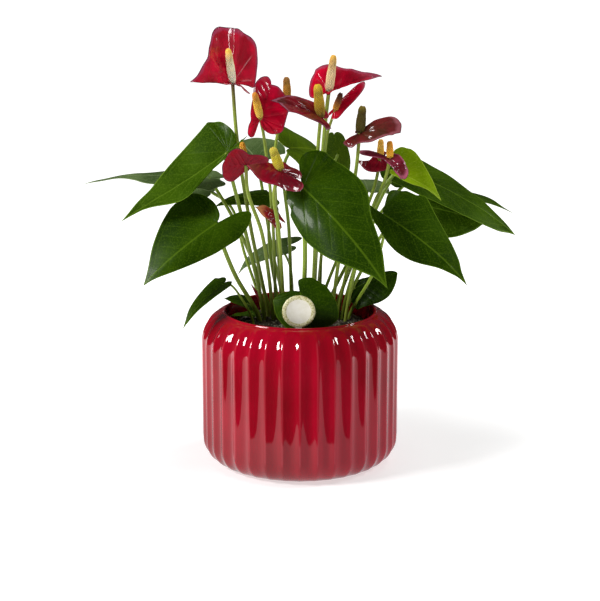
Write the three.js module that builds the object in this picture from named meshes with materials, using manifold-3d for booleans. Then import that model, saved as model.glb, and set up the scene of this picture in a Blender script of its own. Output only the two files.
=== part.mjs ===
// Potted anthurium in a fluted, glazed pot. Millimetres, +Z up, origin under the middle of the pot.
// The front of the plant looks along -Y, with +X to its right as seen from there.
import * as THREE from 'three';
import { mergeVertices } from 'three/addons/utils/BufferGeometryUtils.js';
import Module from 'manifold-3d';

const wasm = await Module();
wasm.setup();

// ---- driving dimensions ----------------------------------------------------------------------
const GAP = 0.3; // clearance between pieces that touch

const POT = {
  radius: 80, // at the crests of the flutes
  height: 125,
  wall: 4.6,
  floor: 6,
  footRadius: 66,
  shoulderStart: 99, // height where the wall starts to turn in
  shoulderReach: 15.5, // how far the shoulder comes in before the lip
  shoulderRise: 24,
  lipOpening: 60.5, // radius of the opening
  flutes: 36,
  fluteDepth: 2.4,
};
const SOIL = { top: 114.5, bump: 0.8, segments: 30, rootDepth: 16, holeClearance: 0.45 };
const TAG = { centre: [-1, -48, 135], radius: 13, thickness: 1.2, segments: 28, pickWidth: 5, pickFoot: 99 };

const STEM_SIDES = 5;
const STEM_STEPS = 6;
const HOLE_CORNER = 1.24; // a five-sided hole is this much wider at its corners than on its flats
const LEAF_THICKNESS = 0.8;
const SPATHE_THICKNESS = 0.8;
const LEAF_MESH = { rays: 8, rings: 3 }; // rays on each side of the midrib
const SPATHE_RINGS = 2;

const COLOURS = {
  glaze: 0xb0101f,
  soil: 0x2a211b,
  leaf: 0x2c5218,
  youngLeaf: 0x5e8a26,
  stalk: 0x6f8f3a,
  spathe: 0xb01028,
  spadix: 0xe2c04a,
  tag: 0xe6e0cf,
};

// Half outlines, from the notch round the lobe to the tip. The first number goes along the midrib, in
// lobe lengths behind the petiole and in blade lengths ahead of it; the second goes across, in half widths.
const LEAF_HALF = [
  [-0.28, 0.045], [-0.74, 0.17], [-1, 0.48], [-0.62, 0.86], [0.08, 1],
  [0.36, 0.86], [0.66, 0.5], [0.88, 0.15], [1, 0],
];
const SPATHE_HALF = [
  [-0.28, 0.055], [-0.76, 0.21], [-1, 0.5], [-0.6, 0.9], [0.12, 1],
  [0.42, 0.88], [0.72, 0.54], [0.91, 0.18], [1, 0],
];

// The tallest spathe rises behind its spadix like a collar and runs out to a drawn-out tip.
const COLLAR_HALF = [
  [-0.28, 0.04], [-0.78, 0.16], [-1, 0.38], [-0.95, 0.62], [-0.6, 0.88], [0.16, 1],
  [0.45, 0.97], [0.58, 0.7], [0.7, 0.38], [0.85, 0.14], [1, 0],
];

// ---- the plant's leaves ----------------------------------------------------------------------
// at: where the petiole meets the blade; tip: the blade's point; face: the way the upper side looks.
// Pairs give the left and the right half, seen on the upper side with the tip ahead.
// half: width; lobe: length behind the petiole; tilt: angle up from flat; curl: further bend out to the
// margin; bow: arch of the midrib; rear: lift of the lobes; hook: drop of the tip; wave: margin wave.
// stem: soil point, then points that the petiole passes.
const LEAVES = {
  leaf_upper_left: {
    at: [-59, -3, 256], tip: [-140, -34, 204], face: [0, -0.45, 1], half: [21, 30], lobe: [18, 10],
    tilt: [8, 24], curl: [-14, -14], bow: 3, rear: 2, hook: 3, wave: 1,
    radius: 1.5, stem: [[-29, 5], [-45, -2, 195], [-56, -5, 242]],
  },
  leaf_far_left: {
    at: [-72, 18, 232], tip: [-176, 36, 222], face: [0, -0.22, 1], half: [20, 17], lobe: [14, 14],
    tilt: [6, 6], curl: [-20, -20], bow: 3, rear: 0, hook: 2, wave: 1,
    radius: 1.4, stem: [[-25, 25], [-46, 14, 180], [-63, 12, 214]],
  },
  leaf_left: {
    at: [-65, -26, 201], tip: [-122, -50, 157], face: [-0.2, -0.8, 0.6], half: [20, 38], lobe: [26, 14],
    tilt: [-8, 2], curl: [-25, -10], bow: 4, rear: 2, hook: 2, wave: 1,
    radius: 1.7, stem: [[-33, 0], [-52, -8, 155], [-63, -16, 186]],
  },
  leaf_front: {
    at: [2, -42, 232], tip: [66, -94, 166], face: [0.1, -0.8, 0.6], half: [41, 21], lobe: [29, 11],
    tilt: [2, -12], curl: [-12, -30], bow: 7, rear: 5, hook: 3, wave: 1.2,
    radius: 1.8, stem: [[2, -8], [4, -14, 170], [3, -30, 216]],
  },
  leaf_right: {
    at: [65, -28, 206], tip: [130, -58, 157], face: [0.1, -0.7, 0.7], half: [37, 17], lobe: [18, 28],
    tilt: [4, -25], curl: [-12, -25], bow: 5, rear: 3, hook: 4, wave: 1.2,
    radius: 1.2, stem: [[40, 6], [58, -6, 155], [66, -14, 186]],
  },
  leaf_bright: {
    at: [76, 4, 234], tip: [111, -8, 215], face: [0, -0.6, 0.8], half: [28, 14], lobe: [10, 2],
    tilt: [14, 30], curl: [-14, -6], bow: 3, rear: 2, hook: 2, wave: 0.8,
    radius: 1.4, stem: [[34, 6], [52, 4, 185], [62, 4, 217]], young: true,
  },
  leaf_far_right: {
    at: [80, 28, 236], tip: [173, 12, 188], face: [0, -0.35, 1], half: [22, 22], lobe: [14, 14],
    tilt: [8, 16], curl: [-20, -14], bow: 4, rear: 0, hook: 3, wave: 1,
    radius: 1.5, stem: [[29, 22], [54, 22, 185], [71, 24, 222]],
  },
  leaf_right_behind: {
    at: [86, 44, 222], tip: [176, 44, 198], face: [0, -0.1, 1], half: [18, 18], lobe: [14, 14],
    tilt: [6, 6], curl: [-20, -20], bow: 3, rear: 0, hook: 2, wave: 1,
    radius: 1.4, stem: [[22, 30], [48, 30, 172], [74, 33, 208]],
  },
  leaf_under_right: {
    at: [88, 14, 209], tip: [139, 6, 191], face: [0, -0.3, 1], half: [20, 20], lobe: [9, 9],
    tilt: [4, 4], curl: [-18, -18], bow: 4, rear: 0, hook: 2, wave: 1,
    radius: 1.3, stem: [[35, 16], [56, 14, 165], [78, 14, 200]],
  },
  leaf_back_right: {
    at: [56, 47, 214], tip: [52, 104, 212], face: [0, -0.1, 1], half: [16, 18], lobe: [12, 12],
    tilt: [4, 4], curl: [-14, -14], bow: 4, rear: 3, hook: 2, wave: 1,
    radius: 1.3, stem: [[16, 32], [36, 40, 170], [52, 45, 204]],
  },
  leaf_back_centre: {
    at: [-14, 20, 250], tip: [25, 70, 236], face: [0.2, -0.5, 0.9], half: [28, 22], lobe: [14, 12],
    tilt: [10, 0], curl: [-14, -14], bow: 4, rear: 2, hook: 2, wave: 1,
    radius: 1.4, stem: [[-7, 24], [-9, 24, 185], [-13, 21, 238]], young: true,
  },
  leaf_back_left: {
    at: [-36, 47, 238], tip: [-54, 102, 242], face: [-0.3, -0.2, 1], half: [24, 24], lobe: [12, 12],
    tilt: [6, 6], curl: [-14, -14], bow: 4, rear: 2, hook: 2, wave: 1,
    radius: 1.3, stem: [[-13, 30], [-24, 36, 172], [-33, 47, 226]],
  },
  leaf_back_upright: {
    at: [29, 18, 250], tip: [42, 74, 226], face: [0.2, -0.3, 1], half: [16, 24], lobe: [8, 22],
    tilt: [4, 4], curl: [-14, -14], bow: 3, rear: 9, hook: 2, wave: 0.8,
    radius: 1.3, stem: [[14, 26], [20, 22, 190], [27, 18, 240]],
  },
  leaf_left_inner: {
    at: [-58, 34, 212], tip: [-82, 90, 216], face: [-0.3, -0.3, 1], half: [20, 20], lobe: [10, 10],
    tilt: [4, 4], curl: [-14, -14], bow: 3, rear: 2, hook: 2, wave: 0.8,
    radius: 1.2, stem: [[-31, 27], [-46, 32, 165], [-56, 33, 202]],
  },
  leaf_low_left: {
    at: [-26, 27, 219], tip: [-70, 20, 213], face: [0, -0.35, 1], half: [9, 13], lobe: [8, 8],
    tilt: [2, 8], curl: [-16, -16], bow: 4, rear: 0, hook: 1, wave: 0.8,
    radius: 1.3, stem: [[-17, 23], [-25, 26, 170], [-26, 28, 206]],
  },
  leaf_over_rim_left: {
    at: [-61, -14, 149], tip: [-93, -36, 119], face: [-0.5, -0.4, 0.8], half: [11, 12], lobe: [5, 6],
    tilt: [12, 12], curl: [-10, -10], bow: 3, rear: 0, hook: 1, wave: 0.6,
    radius: 0.9, stem: [[-38, -8], [-48, -10, 138], [-56, -12, 148]],
  },
  leaf_rim_left: {
    at: [-43, 20, 124], tip: [-62, 6, 132], face: [0, -0.6, 0.8], half: [8, 9], lobe: [5, 5],
    tilt: [6, 6], curl: [-8, -8], bow: 1, rear: 0, hook: 0, wave: 0.4,
    radius: 0.9, stem: [[-34, 22], [-39, 21, 121]],
  },
  leaf_on_soil: {
    at: [-38, 6, 119], tip: [-57, 2, 118.5], face: [0, -0.2, 1], half: [5, 5], lobe: [3, 3],
    tilt: [4, 4], curl: [-8, -8], bow: 1, rear: 0, hook: 0, wave: 0.3,
    radius: 0.8, stem: [[-33, 8.4], [-34.3, 7.6, 117.8]],
  },
  leaf_behind_tag: {
    at: [1, -33, 144], tip: [16, -42, 117], face: [0, -0.9, 0.3], half: [32, 29], lobe: [12, 9],
    tilt: [0, 0], curl: [-14, -14], bow: 3, rear: 0, hook: 0, wave: 0.6,
    radius: 1.1, stem: [[-4, -22], [-5, -26, 135], [-6, -33, 149]],
  },
  leaf_over_rim_right: {
    at: [45, 25, 136], tip: [80, 22, 150], face: [0, -0.5, 0.9], half: [9, 22], lobe: [5, 6],
    tilt: [4, 4], curl: [-14, -14], bow: 3, rear: 0, hook: 0, wave: 0.8,
    radius: 1, stem: [[38, 26], [42, 25.5, 125]],
  },
  leaf_behind_stems: {
    at: [-14, 48, 166], tip: [-54, 58, 141], face: [-0.3, -0.6, 0.7], half: [9, 9], lobe: [10, 16],
    tilt: [10, 10], curl: [-10, -10], bow: 5, rear: 0, hook: 2, wave: 0.6,
    radius: 1, stem: [[-6, 34], [-8, 42, 150]],
  },
};

// ---- the flowers -----------------------------------------------------------------------------
// As the leaves, with the spadix: how far it stands up (length), its radius and its direction (lean).
const FLOWERS = {
  flower_tall_left: {
    at: [-53, 4, 307], tip: [-84, -30, 312], face: [0.3, 0, 1], half: [14, 46], lobe: [14, 28],
    tilt: [8, 70], curl: [0, 10], bow: 0, rear: -4, hook: 0, wave: 0.5,
    radius: 1.5, stem: [[-26, 12], [-40, 9, 192], [-50, 6, 263]],
    spadix: 26, spadixRadius: 2.9, lean: [-0.12, -0.45, 1], outline: COLLAR_HALF,
  },
  flower_left_of_centre: {
    at: [-30, -14, 281], tip: [-22, -4, 311], face: [0.1, -1, 0.1], half: [12, 21], lobe: [14, 10],
    tilt: [15, 0], curl: [0, -20], bow: 2, rear: 0, hook: 0, wave: 0.8,
    radius: 1.3, stem: [[-20, 9], [-22, 9, 197], [-28, -4, 263]],
    spadix: 23, spadixRadius: 2.7, lean: [-0.25, -0.5, 1],
  },
  flower_hidden_left: {
    at: [-10, 14, 294], tip: [-20, 32, 284], face: [0, 0.2, 1], half: [9, 9], lobe: [5, 5],
    tilt: [10, 10], curl: [-10, -10], bow: 2, rear: 0, hook: 0, wave: 0.5,
    radius: 1.3, stem: [[-15, 13], [-19, 12, 200], [-19.5, 12, 256]],
    spadix: 16, spadixRadius: 2.9, lean: [-0.05, 0, 1],
  },
  flower_low_left: {
    at: [-42, -26, 247], tip: [-60, -34, 243], face: [-0.2, 0.9, 0.4], half: [12, 14], lobe: [20, 6],
    tilt: [6, 6], curl: [-10, -10], bow: 2, rear: 0, hook: 0, wave: 0.5,
    radius: 1.5, stem: [[-22, 4], [-30, -6, 187], [-41, -20, 225]],
    spadix: 17, spadixRadius: 2.3, lean: [0, -0.1, 1],
  },
  flower_centre_low: {
    at: [-15, -46, 246], tip: [-41, -50, 251], face: [0, -0.5, 0.9], half: [16, 14], lobe: [18, 10],
    tilt: [0, -20], curl: [-20, -20], bow: 2, rear: 0, hook: 0, wave: 0.8,
    radius: 1.5, stem: [[-13, 2], [-17, -18, 195], [-20, -41, 228]],
    spadix: 18, spadixRadius: 3.6, lean: [-0.35, 0, 1],
  },
  flower_centre_twisted: {
    at: [16, -18, 283], tip: [-25, -34, 298], face: [-0.2, -0.3, 1], half: [16, 14], lobe: [10, 10],
    tilt: [-5, 35], curl: [-10, -10], bow: 2, rear: 0, hook: 0, wave: 0.8,
    radius: 1.5, stem: [[8, 0], [11, 2, 150], [14, -7, 254]],
    spadix: 25, spadixRadius: 3.8, lean: [-0.1, 0, 1],
  },
  flower_tall_right: {
    at: [22, -6, 297], tip: [65, 14, 312], face: [0, -0.4, 1], half: [26, 8], lobe: [11, 6],
    tilt: [30, 20], curl: [-10, -10], bow: 2, rear: 0, hook: 0, wave: 0.6,
    radius: 1.6, stem: [[11, 10], [14, 8, 190], [20, -4, 278]],
    spadix: 30, spadixRadius: 3.1, lean: [0.13, 0, 1],
  },
  flower_narrow: {
    at: [24, 8, 278], tip: [51, 24, 306], face: [-0.6, -0.5, 0.8], half: [10, 10], lobe: [4, 4],
    tilt: [25, 25], curl: [0, 0], bow: 2, rear: 0, hook: 0, wave: 0.5,
    radius: 1.2, stem: [[16, 14], [18, 14, 190], [21, 9, 262]],
    spadix: 16, spadixRadius: 2.2, lean: [0.28, 0.05, 1],
  },
  flower_right_dark: {
    at: [47, -4, 266], tip: [79, -10, 271], face: [0, -0.5, 0.9], half: [16, 16], lobe: [6, 12],
    tilt: [25, -10], curl: [-10, -10], bow: 3, rear: 0, hook: 1, wave: 0.8,
    radius: 1.5, stem: [[26, 2], [32, 2, 170], [44, -2, 236]],
    spadix: 20, spadixRadius: 3.6, lean: [0.13, 0, 1],
  },
  flower_right_cup: {
    at: [64, 10, 246], tip: [47, 4, 246], face: [0.1, -0.6, 0.8], half: [14, 8], lobe: [7.5, 7],
    tilt: [-18, 12], curl: [-10, -10], bow: -2, rear: 0, hook: 0, wave: 0.5,
    radius: 1.4, stem: [[31, 12], [46, 10, 185], [60, 9, 225]],
    spadix: 15, spadixRadius: 2.5, lean: [-0.2, 0, 1],
  },
  flower_right_pink: {
    at: [71, -6, 249], tip: [81, -18, 235], face: [0.4, -0.4, 0.9], half: [9, 9], lobe: [16, 22],
    tilt: [20, 20], curl: [-10, -10], bow: 2, rear: 0, hook: 0, wave: 0.5,
    radius: 1.4, stem: [[37, 0], [52, -2, 190], [68, -4, 234]],
    spadix: 13, spadixRadius: 2.5, lean: [-0.03, 0.02, 1],
  },
  flower_withering: {
    at: [-18, 0, 202], tip: [-33, -3, 211], face: [0.2, -0.6, 0.8], half: [9, 6], lobe: [8, 8],
    tilt: [-10, -10], curl: [-10, -10], bow: 2, rear: 0, hook: 0, wave: 0.5,
    radius: 1.2, stem: [[-14, 8], [-17, 3, 160]],
    spadix: 9, spadixRadius: 1.7, lean: [0.03, -0.02, 1], green: true,
  },
};

const SHOOT = { soil: [-24, 19], tip: [-40, 12, 143], radius: 2.1, rootDepth: 8, sides: 7 };

// ---- meshes and solids -----------------------------------------------------------------------
const WELD = 1e-4;
const SLIVERS = [0.05, 0.04, 0.03, 0.02, 0.01, 0.005]; // edges this short, which a cut can leave, are closed up
const vec = ([x, y, z]) => new THREE.Vector3(x, y, z);
const rad = THREE.MathUtils.degToRad;

// Joins corners that lie closer than the distance, and drops the triangles that this closes up.
function welded(geometry, distance) {
  const bare = geometry.clone();
  bare.deleteAttribute('normal');
  bare.deleteAttribute('uv');
  const merged = mergeVertices(bare, distance);
  const corners = Array.from({ length: merged.index.count / 3 }, (_, i) =>
    [0, 1, 2].map((k) => merged.index.getX(3 * i + k)));
  const real = corners.filter(([a, b, c]) => a !== b && b !== c && c !== a);
  return merged.setIndex(real.flat());
}

function solidOf(geometry) {
  const closed = welded(geometry, WELD);
  return new wasm.Manifold(new wasm.Mesh({
    numProp: 3,
    vertProperties: closed.attributes.position.array,
    triVerts: new Uint32Array(closed.index.array),
  }));
}

// True where each edge is run along once each way, so the surface is closed and doesn't touch itself.
function isClosed(geometry) {
  const corners = geometry.index.array;
  const edges = new Set();
  for (let i = 0; i < corners.length; i += 3) {
    [0, 1, 2].forEach((k) => edges.add(`${corners[i + k]} ${corners[i + ((k + 1) % 3)]}`));
  }
  return edges.size === corners.length && [...edges].every((edge) => edges.has(edge.split(' ').reverse().join(' ')));
}

function geometryOf(solid) {
  const { vertProperties, triVerts } = solid.getMesh();
  const raw = new THREE.BufferGeometry();
  raw.setAttribute('position', new THREE.BufferAttribute(Float32Array.from(vertProperties), 3));
  raw.setIndex(Array.from(triVerts));
  const geometry = SLIVERS.map((distance) => welded(raw, distance)).find(isClosed) ?? raw;
  geometry.computeVertexNormals();
  return geometry;
}

// Drops the scraps that a cut leaves.
function largest(solid) {
  return solid.decompose().reduce((best, piece) => (piece.volume() > best.volume() ? piece : best));
}

const group = new THREE.Group();
function addNode(name, solid, colour, roughness) {
  const material = new THREE.MeshStandardMaterial({ color: colour, roughness, metalness: 0 });
  const mesh = new THREE.Mesh(geometryOf(solid), material);
  mesh.name = name;
  group.add(mesh);
}

// A straight-sided tube with closed ends along a smooth line through the points.
function tube(points, radius, steps = STEM_STEPS) {
  const section = new THREE.Shape();
  for (let i = 0; i <= STEM_SIDES; i += 1) {
    const angle = (i * 2 * Math.PI) / STEM_SIDES;
    const corner = [radius * Math.cos(angle), radius * Math.sin(angle)];
    if (i === 0) section.moveTo(...corner);
    else section.lineTo(...corner);
  }
  const extrudePath = new THREE.CatmullRomCurve3(points.map(vec));
  return solidOf(new THREE.ExtrudeGeometry(section, { steps, extrudePath, bevelEnabled: false }));
}

// ---- blades: leaves and spathes --------------------------------------------------------------
// Directions of a blade: along the midrib, out of the upper side, and to the right seen on that side.
function bladeAxes({ at, tip, face }) {
  const origin = vec(at);
  const along = vec(tip).sub(origin);
  const length = along.length();
  along.normalize();
  const up = vec(face);
  up.addScaledVector(along, -up.dot(along)).normalize();
  return { origin, along, up, right: along.clone().cross(up), length };
}

// Point of the blade's middle layer at x along it (-1 lobe end, 1 tip) and y across (-1 left, 1 right).
function bladePoint(blade, axes, x, y) {
  const side = y < 0 ? 0 : 1;
  const out = Math.abs(y);
  const across = out * blade.half[side];
  const angle = rad(blade.tilt[side] + 0.5 * blade.curl[side] * out);
  const forward = x < 0 ? x * blade.lobe[side] : x * axes.length;
  const archSlope = (4 * blade.bow) / axes.length;
  const arch = x < 0 ? archSlope * forward : 4 * blade.bow * x * (1 - x);
  const lift = x < 0 ? blade.rear * x * x : -blade.hook * Math.max(0, (x - 0.6) / 0.4) ** 2;
  const wave = blade.wave * out * out * Math.sin(7 * x + 2 * side);
  return axes.origin.clone()
    .addScaledVector(axes.along, forward)
    .addScaledVector(axes.right, Math.sign(y) * across * Math.cos(angle))
    .addScaledVector(axes.up, across * Math.sin(angle) + arch + lift + wave);
}

// Outline of the whole blade, from the notch round the right lobe to the tip and back on the left.
function bladeOutline(halfOutline, rays) {
  const curve = new THREE.SplineCurve(halfOutline.map(([x, y]) => new THREE.Vector2(x, y)));
  const right = curve.getPoints(rays);
  const left = right.slice(0, -1).reverse().map(({ x, y }) => new THREE.Vector2(x, -y));
  return [...right, ...left];
}

function bladeSolid(blade, halfOutline, thickness, { rays, rings }) {
  const axes = bladeAxes(blade);
  const outline = bladeOutline(halfOutline, rays);
  const middle = [bladePoint(blade, axes, 0, 0)];
  outline.forEach(({ x, y }) => {
    for (let ring = 1; ring <= rings; ring += 1) {
      const share = ring / rings;
      middle.push(bladePoint(blade, axes, x * share, y * share));
    }
  });
  const vertex = (ray, ring) => (ring === 0 ? 0 : 1 + ray * rings + ring - 1);
  const faces = [];
  for (let ray = 0; ray < outline.length - 1; ray += 1) {
    faces.push([0, vertex(ray, 1), vertex(ray + 1, 1)]);
    for (let ring = 1; ring < rings; ring += 1) {
      const [a, b] = [vertex(ray, ring), vertex(ray, ring + 1)];
      const [c, d] = [vertex(ray + 1, ring + 1), vertex(ray + 1, ring)];
      faces.push([a, b, c], [a, c, d]);
    }
  }
  const sheet = new THREE.BufferGeometry().setFromPoints(middle);
  sheet.setIndex(faces.flat());
  sheet.computeVertexNormals();
  const normal = sheet.attributes.normal;
  const layer = (offset) => middle.map((point, i) =>
    point.clone().addScaledVector(new THREE.Vector3().fromBufferAttribute(normal, i), offset));
  const last = outline.length - 1;
  const edge = [0];
  for (let ring = 1; ring < rings; ring += 1) edge.push(vertex(0, ring));
  for (let ray = 0; ray <= last; ray += 1) edge.push(vertex(ray, rings));
  for (let ring = rings - 1; ring > 0; ring -= 1) edge.push(vertex(last, ring));
  const under = middle.length; // vertices of the under side follow those of the upper side
  const closed = [...faces];
  faces.forEach(([a, b, c]) => closed.push([a + under, c + under, b + under]));
  edge.forEach((a, i) => {
    const b = edge[(i + 1) % edge.length];
    closed.push([a, a + under, b + under], [a, b + under, b]);
  });
  const shell = new THREE.BufferGeometry().setFromPoints([...layer(thickness / 2), ...layer(-thickness / 2)]);
  shell.setIndex(closed.flat());
  return solidOf(shell);
}

// ---- stems -----------------------------------------------------------------------------------
const holes = [];
const soilPoint = ([x, y], depth) => [x, y, SOIL.top - depth];

// The stem's line: up out of the soil, past the given points, to the end.
function stemLine([foot, ...passes], end) {
  return [soilPoint(foot, SOIL.rootDepth), soilPoint(foot, -2), ...passes, end];
}

// The stem's hole in the soil follows the stem, a little wider and deeper.
function standInSoil(line, radius) {
  const [[x, y, z], ...rest] = line;
  holes.push(tube([[x, y, z - GAP], ...rest], radius + SOIL.holeClearance));
}

function makeLeaf(name, leaf) {
  const axes = bladeAxes(leaf);
  const end = vec(leaf.at).addScaledVector(axes.along, 1.5).toArray();
  const line = stemLine(leaf.stem, end);
  const petiole = tube(line, leaf.radius);
  const blade = bladeSolid(leaf, LEAF_HALF, LEAF_THICKNESS, LEAF_MESH);
  standInSoil(line, leaf.radius);
  addNode(name, petiole.add(blade), leaf.young ? COLOURS.youngLeaf : COLOURS.leaf, 0.35);
}

// ---- flowers ---------------------------------------------------------------------------------
const SPADIX_SIDES = 8;
const SPADIX_ROWS = 7;
const BORE_REACH = 13; // the spathe is cut clear of the spadix this far up
const FLORET_RELIEF = 0.1; // share of the radius

// A blunt rod of florets: each second corner of each row stands out, turned by one from row to row.
function spadixSolid({ at, lean, spadix, spadixRadius, green }) {
  const base = green ? -1 : GAP; // just over the stalk's end, or in it where both are one green piece
  const profile = [new THREE.Vector2(0, base), new THREE.Vector2(spadixRadius * 0.7, base + 1)];
  for (let row = 1; row < SPADIX_ROWS; row += 1) {
    const t = row / (SPADIX_ROWS - 0.6);
    const taper = 0.82 + 0.18 * Math.sin(Math.PI * Math.min(1, t * 1.4));
    const rounded = Math.sqrt(Math.max(0, 1 - (Math.max(0, t - 0.8) / 0.22) ** 2));
    profile.push(new THREE.Vector2(spadixRadius * taper * rounded * 0.95, base + t * spadix));
  }
  profile.push(new THREE.Vector2(0, base + spadix * 1.02));
  const rod = new THREE.LatheGeometry(profile, SPADIX_SIDES);
  const position = rod.attributes.position;
  const rows = profile.length;
  for (let i = 0; i < position.count; i += 1) {
    const side = Math.floor(i / rows) % SPADIX_SIDES;
    const raised = (side + (i % rows)) % 2 === 0 ? 1 + FLORET_RELIEF : 1 - FLORET_RELIEF;
    position.setXYZ(i, position.getX(i) * raised, position.getY(i), position.getZ(i) * raised);
  }
  const turn = new THREE.Quaternion().setFromUnitVectors(new THREE.Vector3(0, 1, 0), vec(lean).normalize());
  rod.applyQuaternion(turn);
  rod.translate(...at);
  return solidOf(rod);
}

function makeFlower(name, flower) {
  const lean = vec(flower.lean).normalize();
  const line = stemLine(flower.stem, flower.at);
  const stalk = tube(line, flower.radius);
  const rodFoot = vec(flower.at).addScaledVector(lean, -2).toArray();
  const rodTop = vec(flower.at).addScaledVector(lean, BORE_REACH).toArray();
  const stalkBore = tube(line, flower.radius + GAP);
  const rodBore = tube([rodFoot, rodTop], flower.spadixRadius * (1 + FLORET_RELIEF) + 1.5 * GAP, 1);
  const spadix = spadixSolid(flower);
  standInSoil(line, flower.radius);
  addNode(`${name}_stalk`, flower.green ? stalk.add(spadix) : stalk, COLOURS.stalk, 0.5);
  const outline = flower.outline ?? SPATHE_HALF;
  const mesh = { rays: outline.length - 1, rings: SPATHE_RINGS };
  const spathe = bladeSolid(flower, outline, SPATHE_THICKNESS, mesh).subtract(stalkBore.add(rodBore));
  addNode(`${name}_spathe`, largest(spathe), COLOURS.spathe, 0.2);
  if (!flower.green) addNode(`${name}_spadix`, spadix, COLOURS.spadix, 0.6);
}

// ---- pot, soil and tag -----------------------------------------------------------------------
const arc = (cx, cz, rx, rz, from, to, parts) => Array.from({ length: parts + 1 }, (_, i) => {
  const angle = rad(from + ((to - from) * i) / parts);
  return [cx + rx * Math.cos(angle), cz + rz * Math.sin(angle)];
});

// Profile points are [radius, height, share of the flutes' depth].
const corner = POT.radius - POT.footRadius;
const shoulderTop = POT.shoulderStart + POT.shoulderRise;
const lipOuter = POT.radius - POT.shoulderReach;
const innerShoulder = (inset) => [
  [POT.lipOpening - inset, shoulderTop - 3],
  ...arc(lipOuter - 4, POT.shoulderStart, corner + 0.9 - inset, POT.shoulderRise - 5.5 - inset, 70, 0, 2),
  [POT.radius - POT.wall - inset, corner + 2],
  ...arc(POT.footRadius - 2, corner + 4, corner + 2 - POT.wall - inset, corner - 2 - inset, -20, -90, 2),
];

function potSolid() {
  const outer = [
    ...arc(POT.footRadius, corner, corner, corner, -90, 0, 3)
      .map(([r, z], i) => [r, z, i / 3]),
    ...arc(lipOuter - 7.5, POT.shoulderStart, POT.shoulderReach + 7.5, POT.shoulderRise, 0, 70, 5)
      .map(([r, z], i) => [r, z, i < 4 ? 1 : 0.45]),
    [lipOuter + 0.2, shoulderTop - 0.4, 0],
    [lipOuter - 0.8, POT.height - 0.5, 0],
    [(lipOuter + POT.lipOpening) / 2, POT.height, 0],
    [POT.lipOpening + 0.6, POT.height - 0.5, 0],
  ];
  const inner = innerShoulder(0).map(([r, z]) => [r, z, 0]);
  const rows = [[0, 0, 0], ...outer, ...inner, [0, POT.floor, 0]];
  const profile = rows.map(([r, z]) => new THREE.Vector2(r, z));
  const pot = new THREE.LatheGeometry(profile, 2 * POT.flutes);
  const position = pot.attributes.position;
  for (let i = 0; i < position.count; i += 1) {
    const around = Math.floor(i / rows.length);
    const cut = around % 2 === 0 ? 0 : rows[i % rows.length][2] * POT.fluteDepth;
    const radius = rows[i % rows.length][0];
    const share = radius > 0 ? (radius - cut) / radius : 0;
    position.setXYZ(i, position.getX(i) * share, position.getY(i), position.getZ(i) * share);
  }
  return solidOf(pot.rotateX(Math.PI / 2));
}

// The soil fills the pot to a gently uneven surface. Its profile runs from the floor up the wall to the middle.
function soilSolid() {
  const [, ...wall] = innerShoulder(GAP);
  const surface = [54, 42, 28, 14, 0].map((radius) => [radius, SOIL.top]);
  const rows = [[0, POT.floor + GAP], ...wall.reverse(), [POT.lipOpening - GAP, SOIL.top - 0.6], ...surface];
  const profile = rows.map(([r, z]) => new THREE.Vector2(r, z));
  const soil = new THREE.LatheGeometry(profile, SOIL.segments);
  const position = soil.attributes.position;
  for (let i = 0; i < position.count; i += 1) {
    const [x, y, z] = [position.getX(i), position.getY(i), position.getZ(i)];
    const bump = SOIL.bump * Math.sin(0.31 * x + 0.5) * Math.cos(0.27 * z);
    if (y === SOIL.top) position.setY(i, y + bump);
  }
  return solidOf(soil.rotateX(Math.PI / 2));
}

function tagSolid() {
  const [x, y, z] = TAG.centre;
  const disc = new THREE.CylinderGeometry(TAG.radius, TAG.radius, TAG.thickness, TAG.segments);
  disc.translate(x, y, z);
  const height = z - TAG.pickFoot;
  const pick = new THREE.BoxGeometry(TAG.pickWidth, TAG.thickness, height);
  pick.translate(x, y, z - height / 2);
  const slot = new THREE.BoxGeometry(TAG.pickWidth + 2 * GAP, TAG.thickness + 2 * GAP, height);
  slot.translate(x, y, z - height / 2 - GAP);
  holes.push(solidOf(slot));
  return solidOf(disc).add(solidOf(pick));
}

// A furled young spathe in its sheath, leaning out of the soil.
function shootSolid() {
  const foot = vec(soilPoint(SHOOT.soil, 0));
  const lean = vec(SHOOT.tip).sub(foot).normalize();
  const { radius, rootDepth, sides } = SHOOT;
  const profile = [[0, -rootDepth], [1, -rootDepth], [1, 1], [0.8, 10], [1, 16], [0.55, 26], [0, 34]];
  const shoot = new THREE.LatheGeometry(profile.map(([r, h]) => new THREE.Vector2(r * radius, h)), sides);
  shoot.applyQuaternion(new THREE.Quaternion().setFromUnitVectors(new THREE.Vector3(0, 1, 0), lean));
  shoot.translate(foot.x, foot.y, foot.z);
  const holeEnd = foot.clone().addScaledVector(lean, -rootDepth - GAP).toArray();
  holes.push(tube([holeEnd, SHOOT.tip], radius * HOLE_CORNER + SOIL.holeClearance, 1));
  return solidOf(shoot);
}

addNode('pot', potSolid(), COLOURS.glaze, 0.12);
Object.entries(LEAVES).forEach(([name, leaf]) => makeLeaf(name, leaf));
Object.entries(FLOWERS).forEach(([name, flower]) => makeFlower(name, flower));
addNode('plant_tag', tagSolid(), COLOURS.tag, 0.5);
addNode('red_shoot', shootSolid(), COLOURS.spathe, 0.4);
addNode('soil', holes.reduce((soil, hole) => soil.subtract(hole), soilSolid()), COLOURS.soil, 0.9);

export default group;
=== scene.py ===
import math

import bpy
import numpy as np
from mathutils import Matrix, Vector, noise


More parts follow.
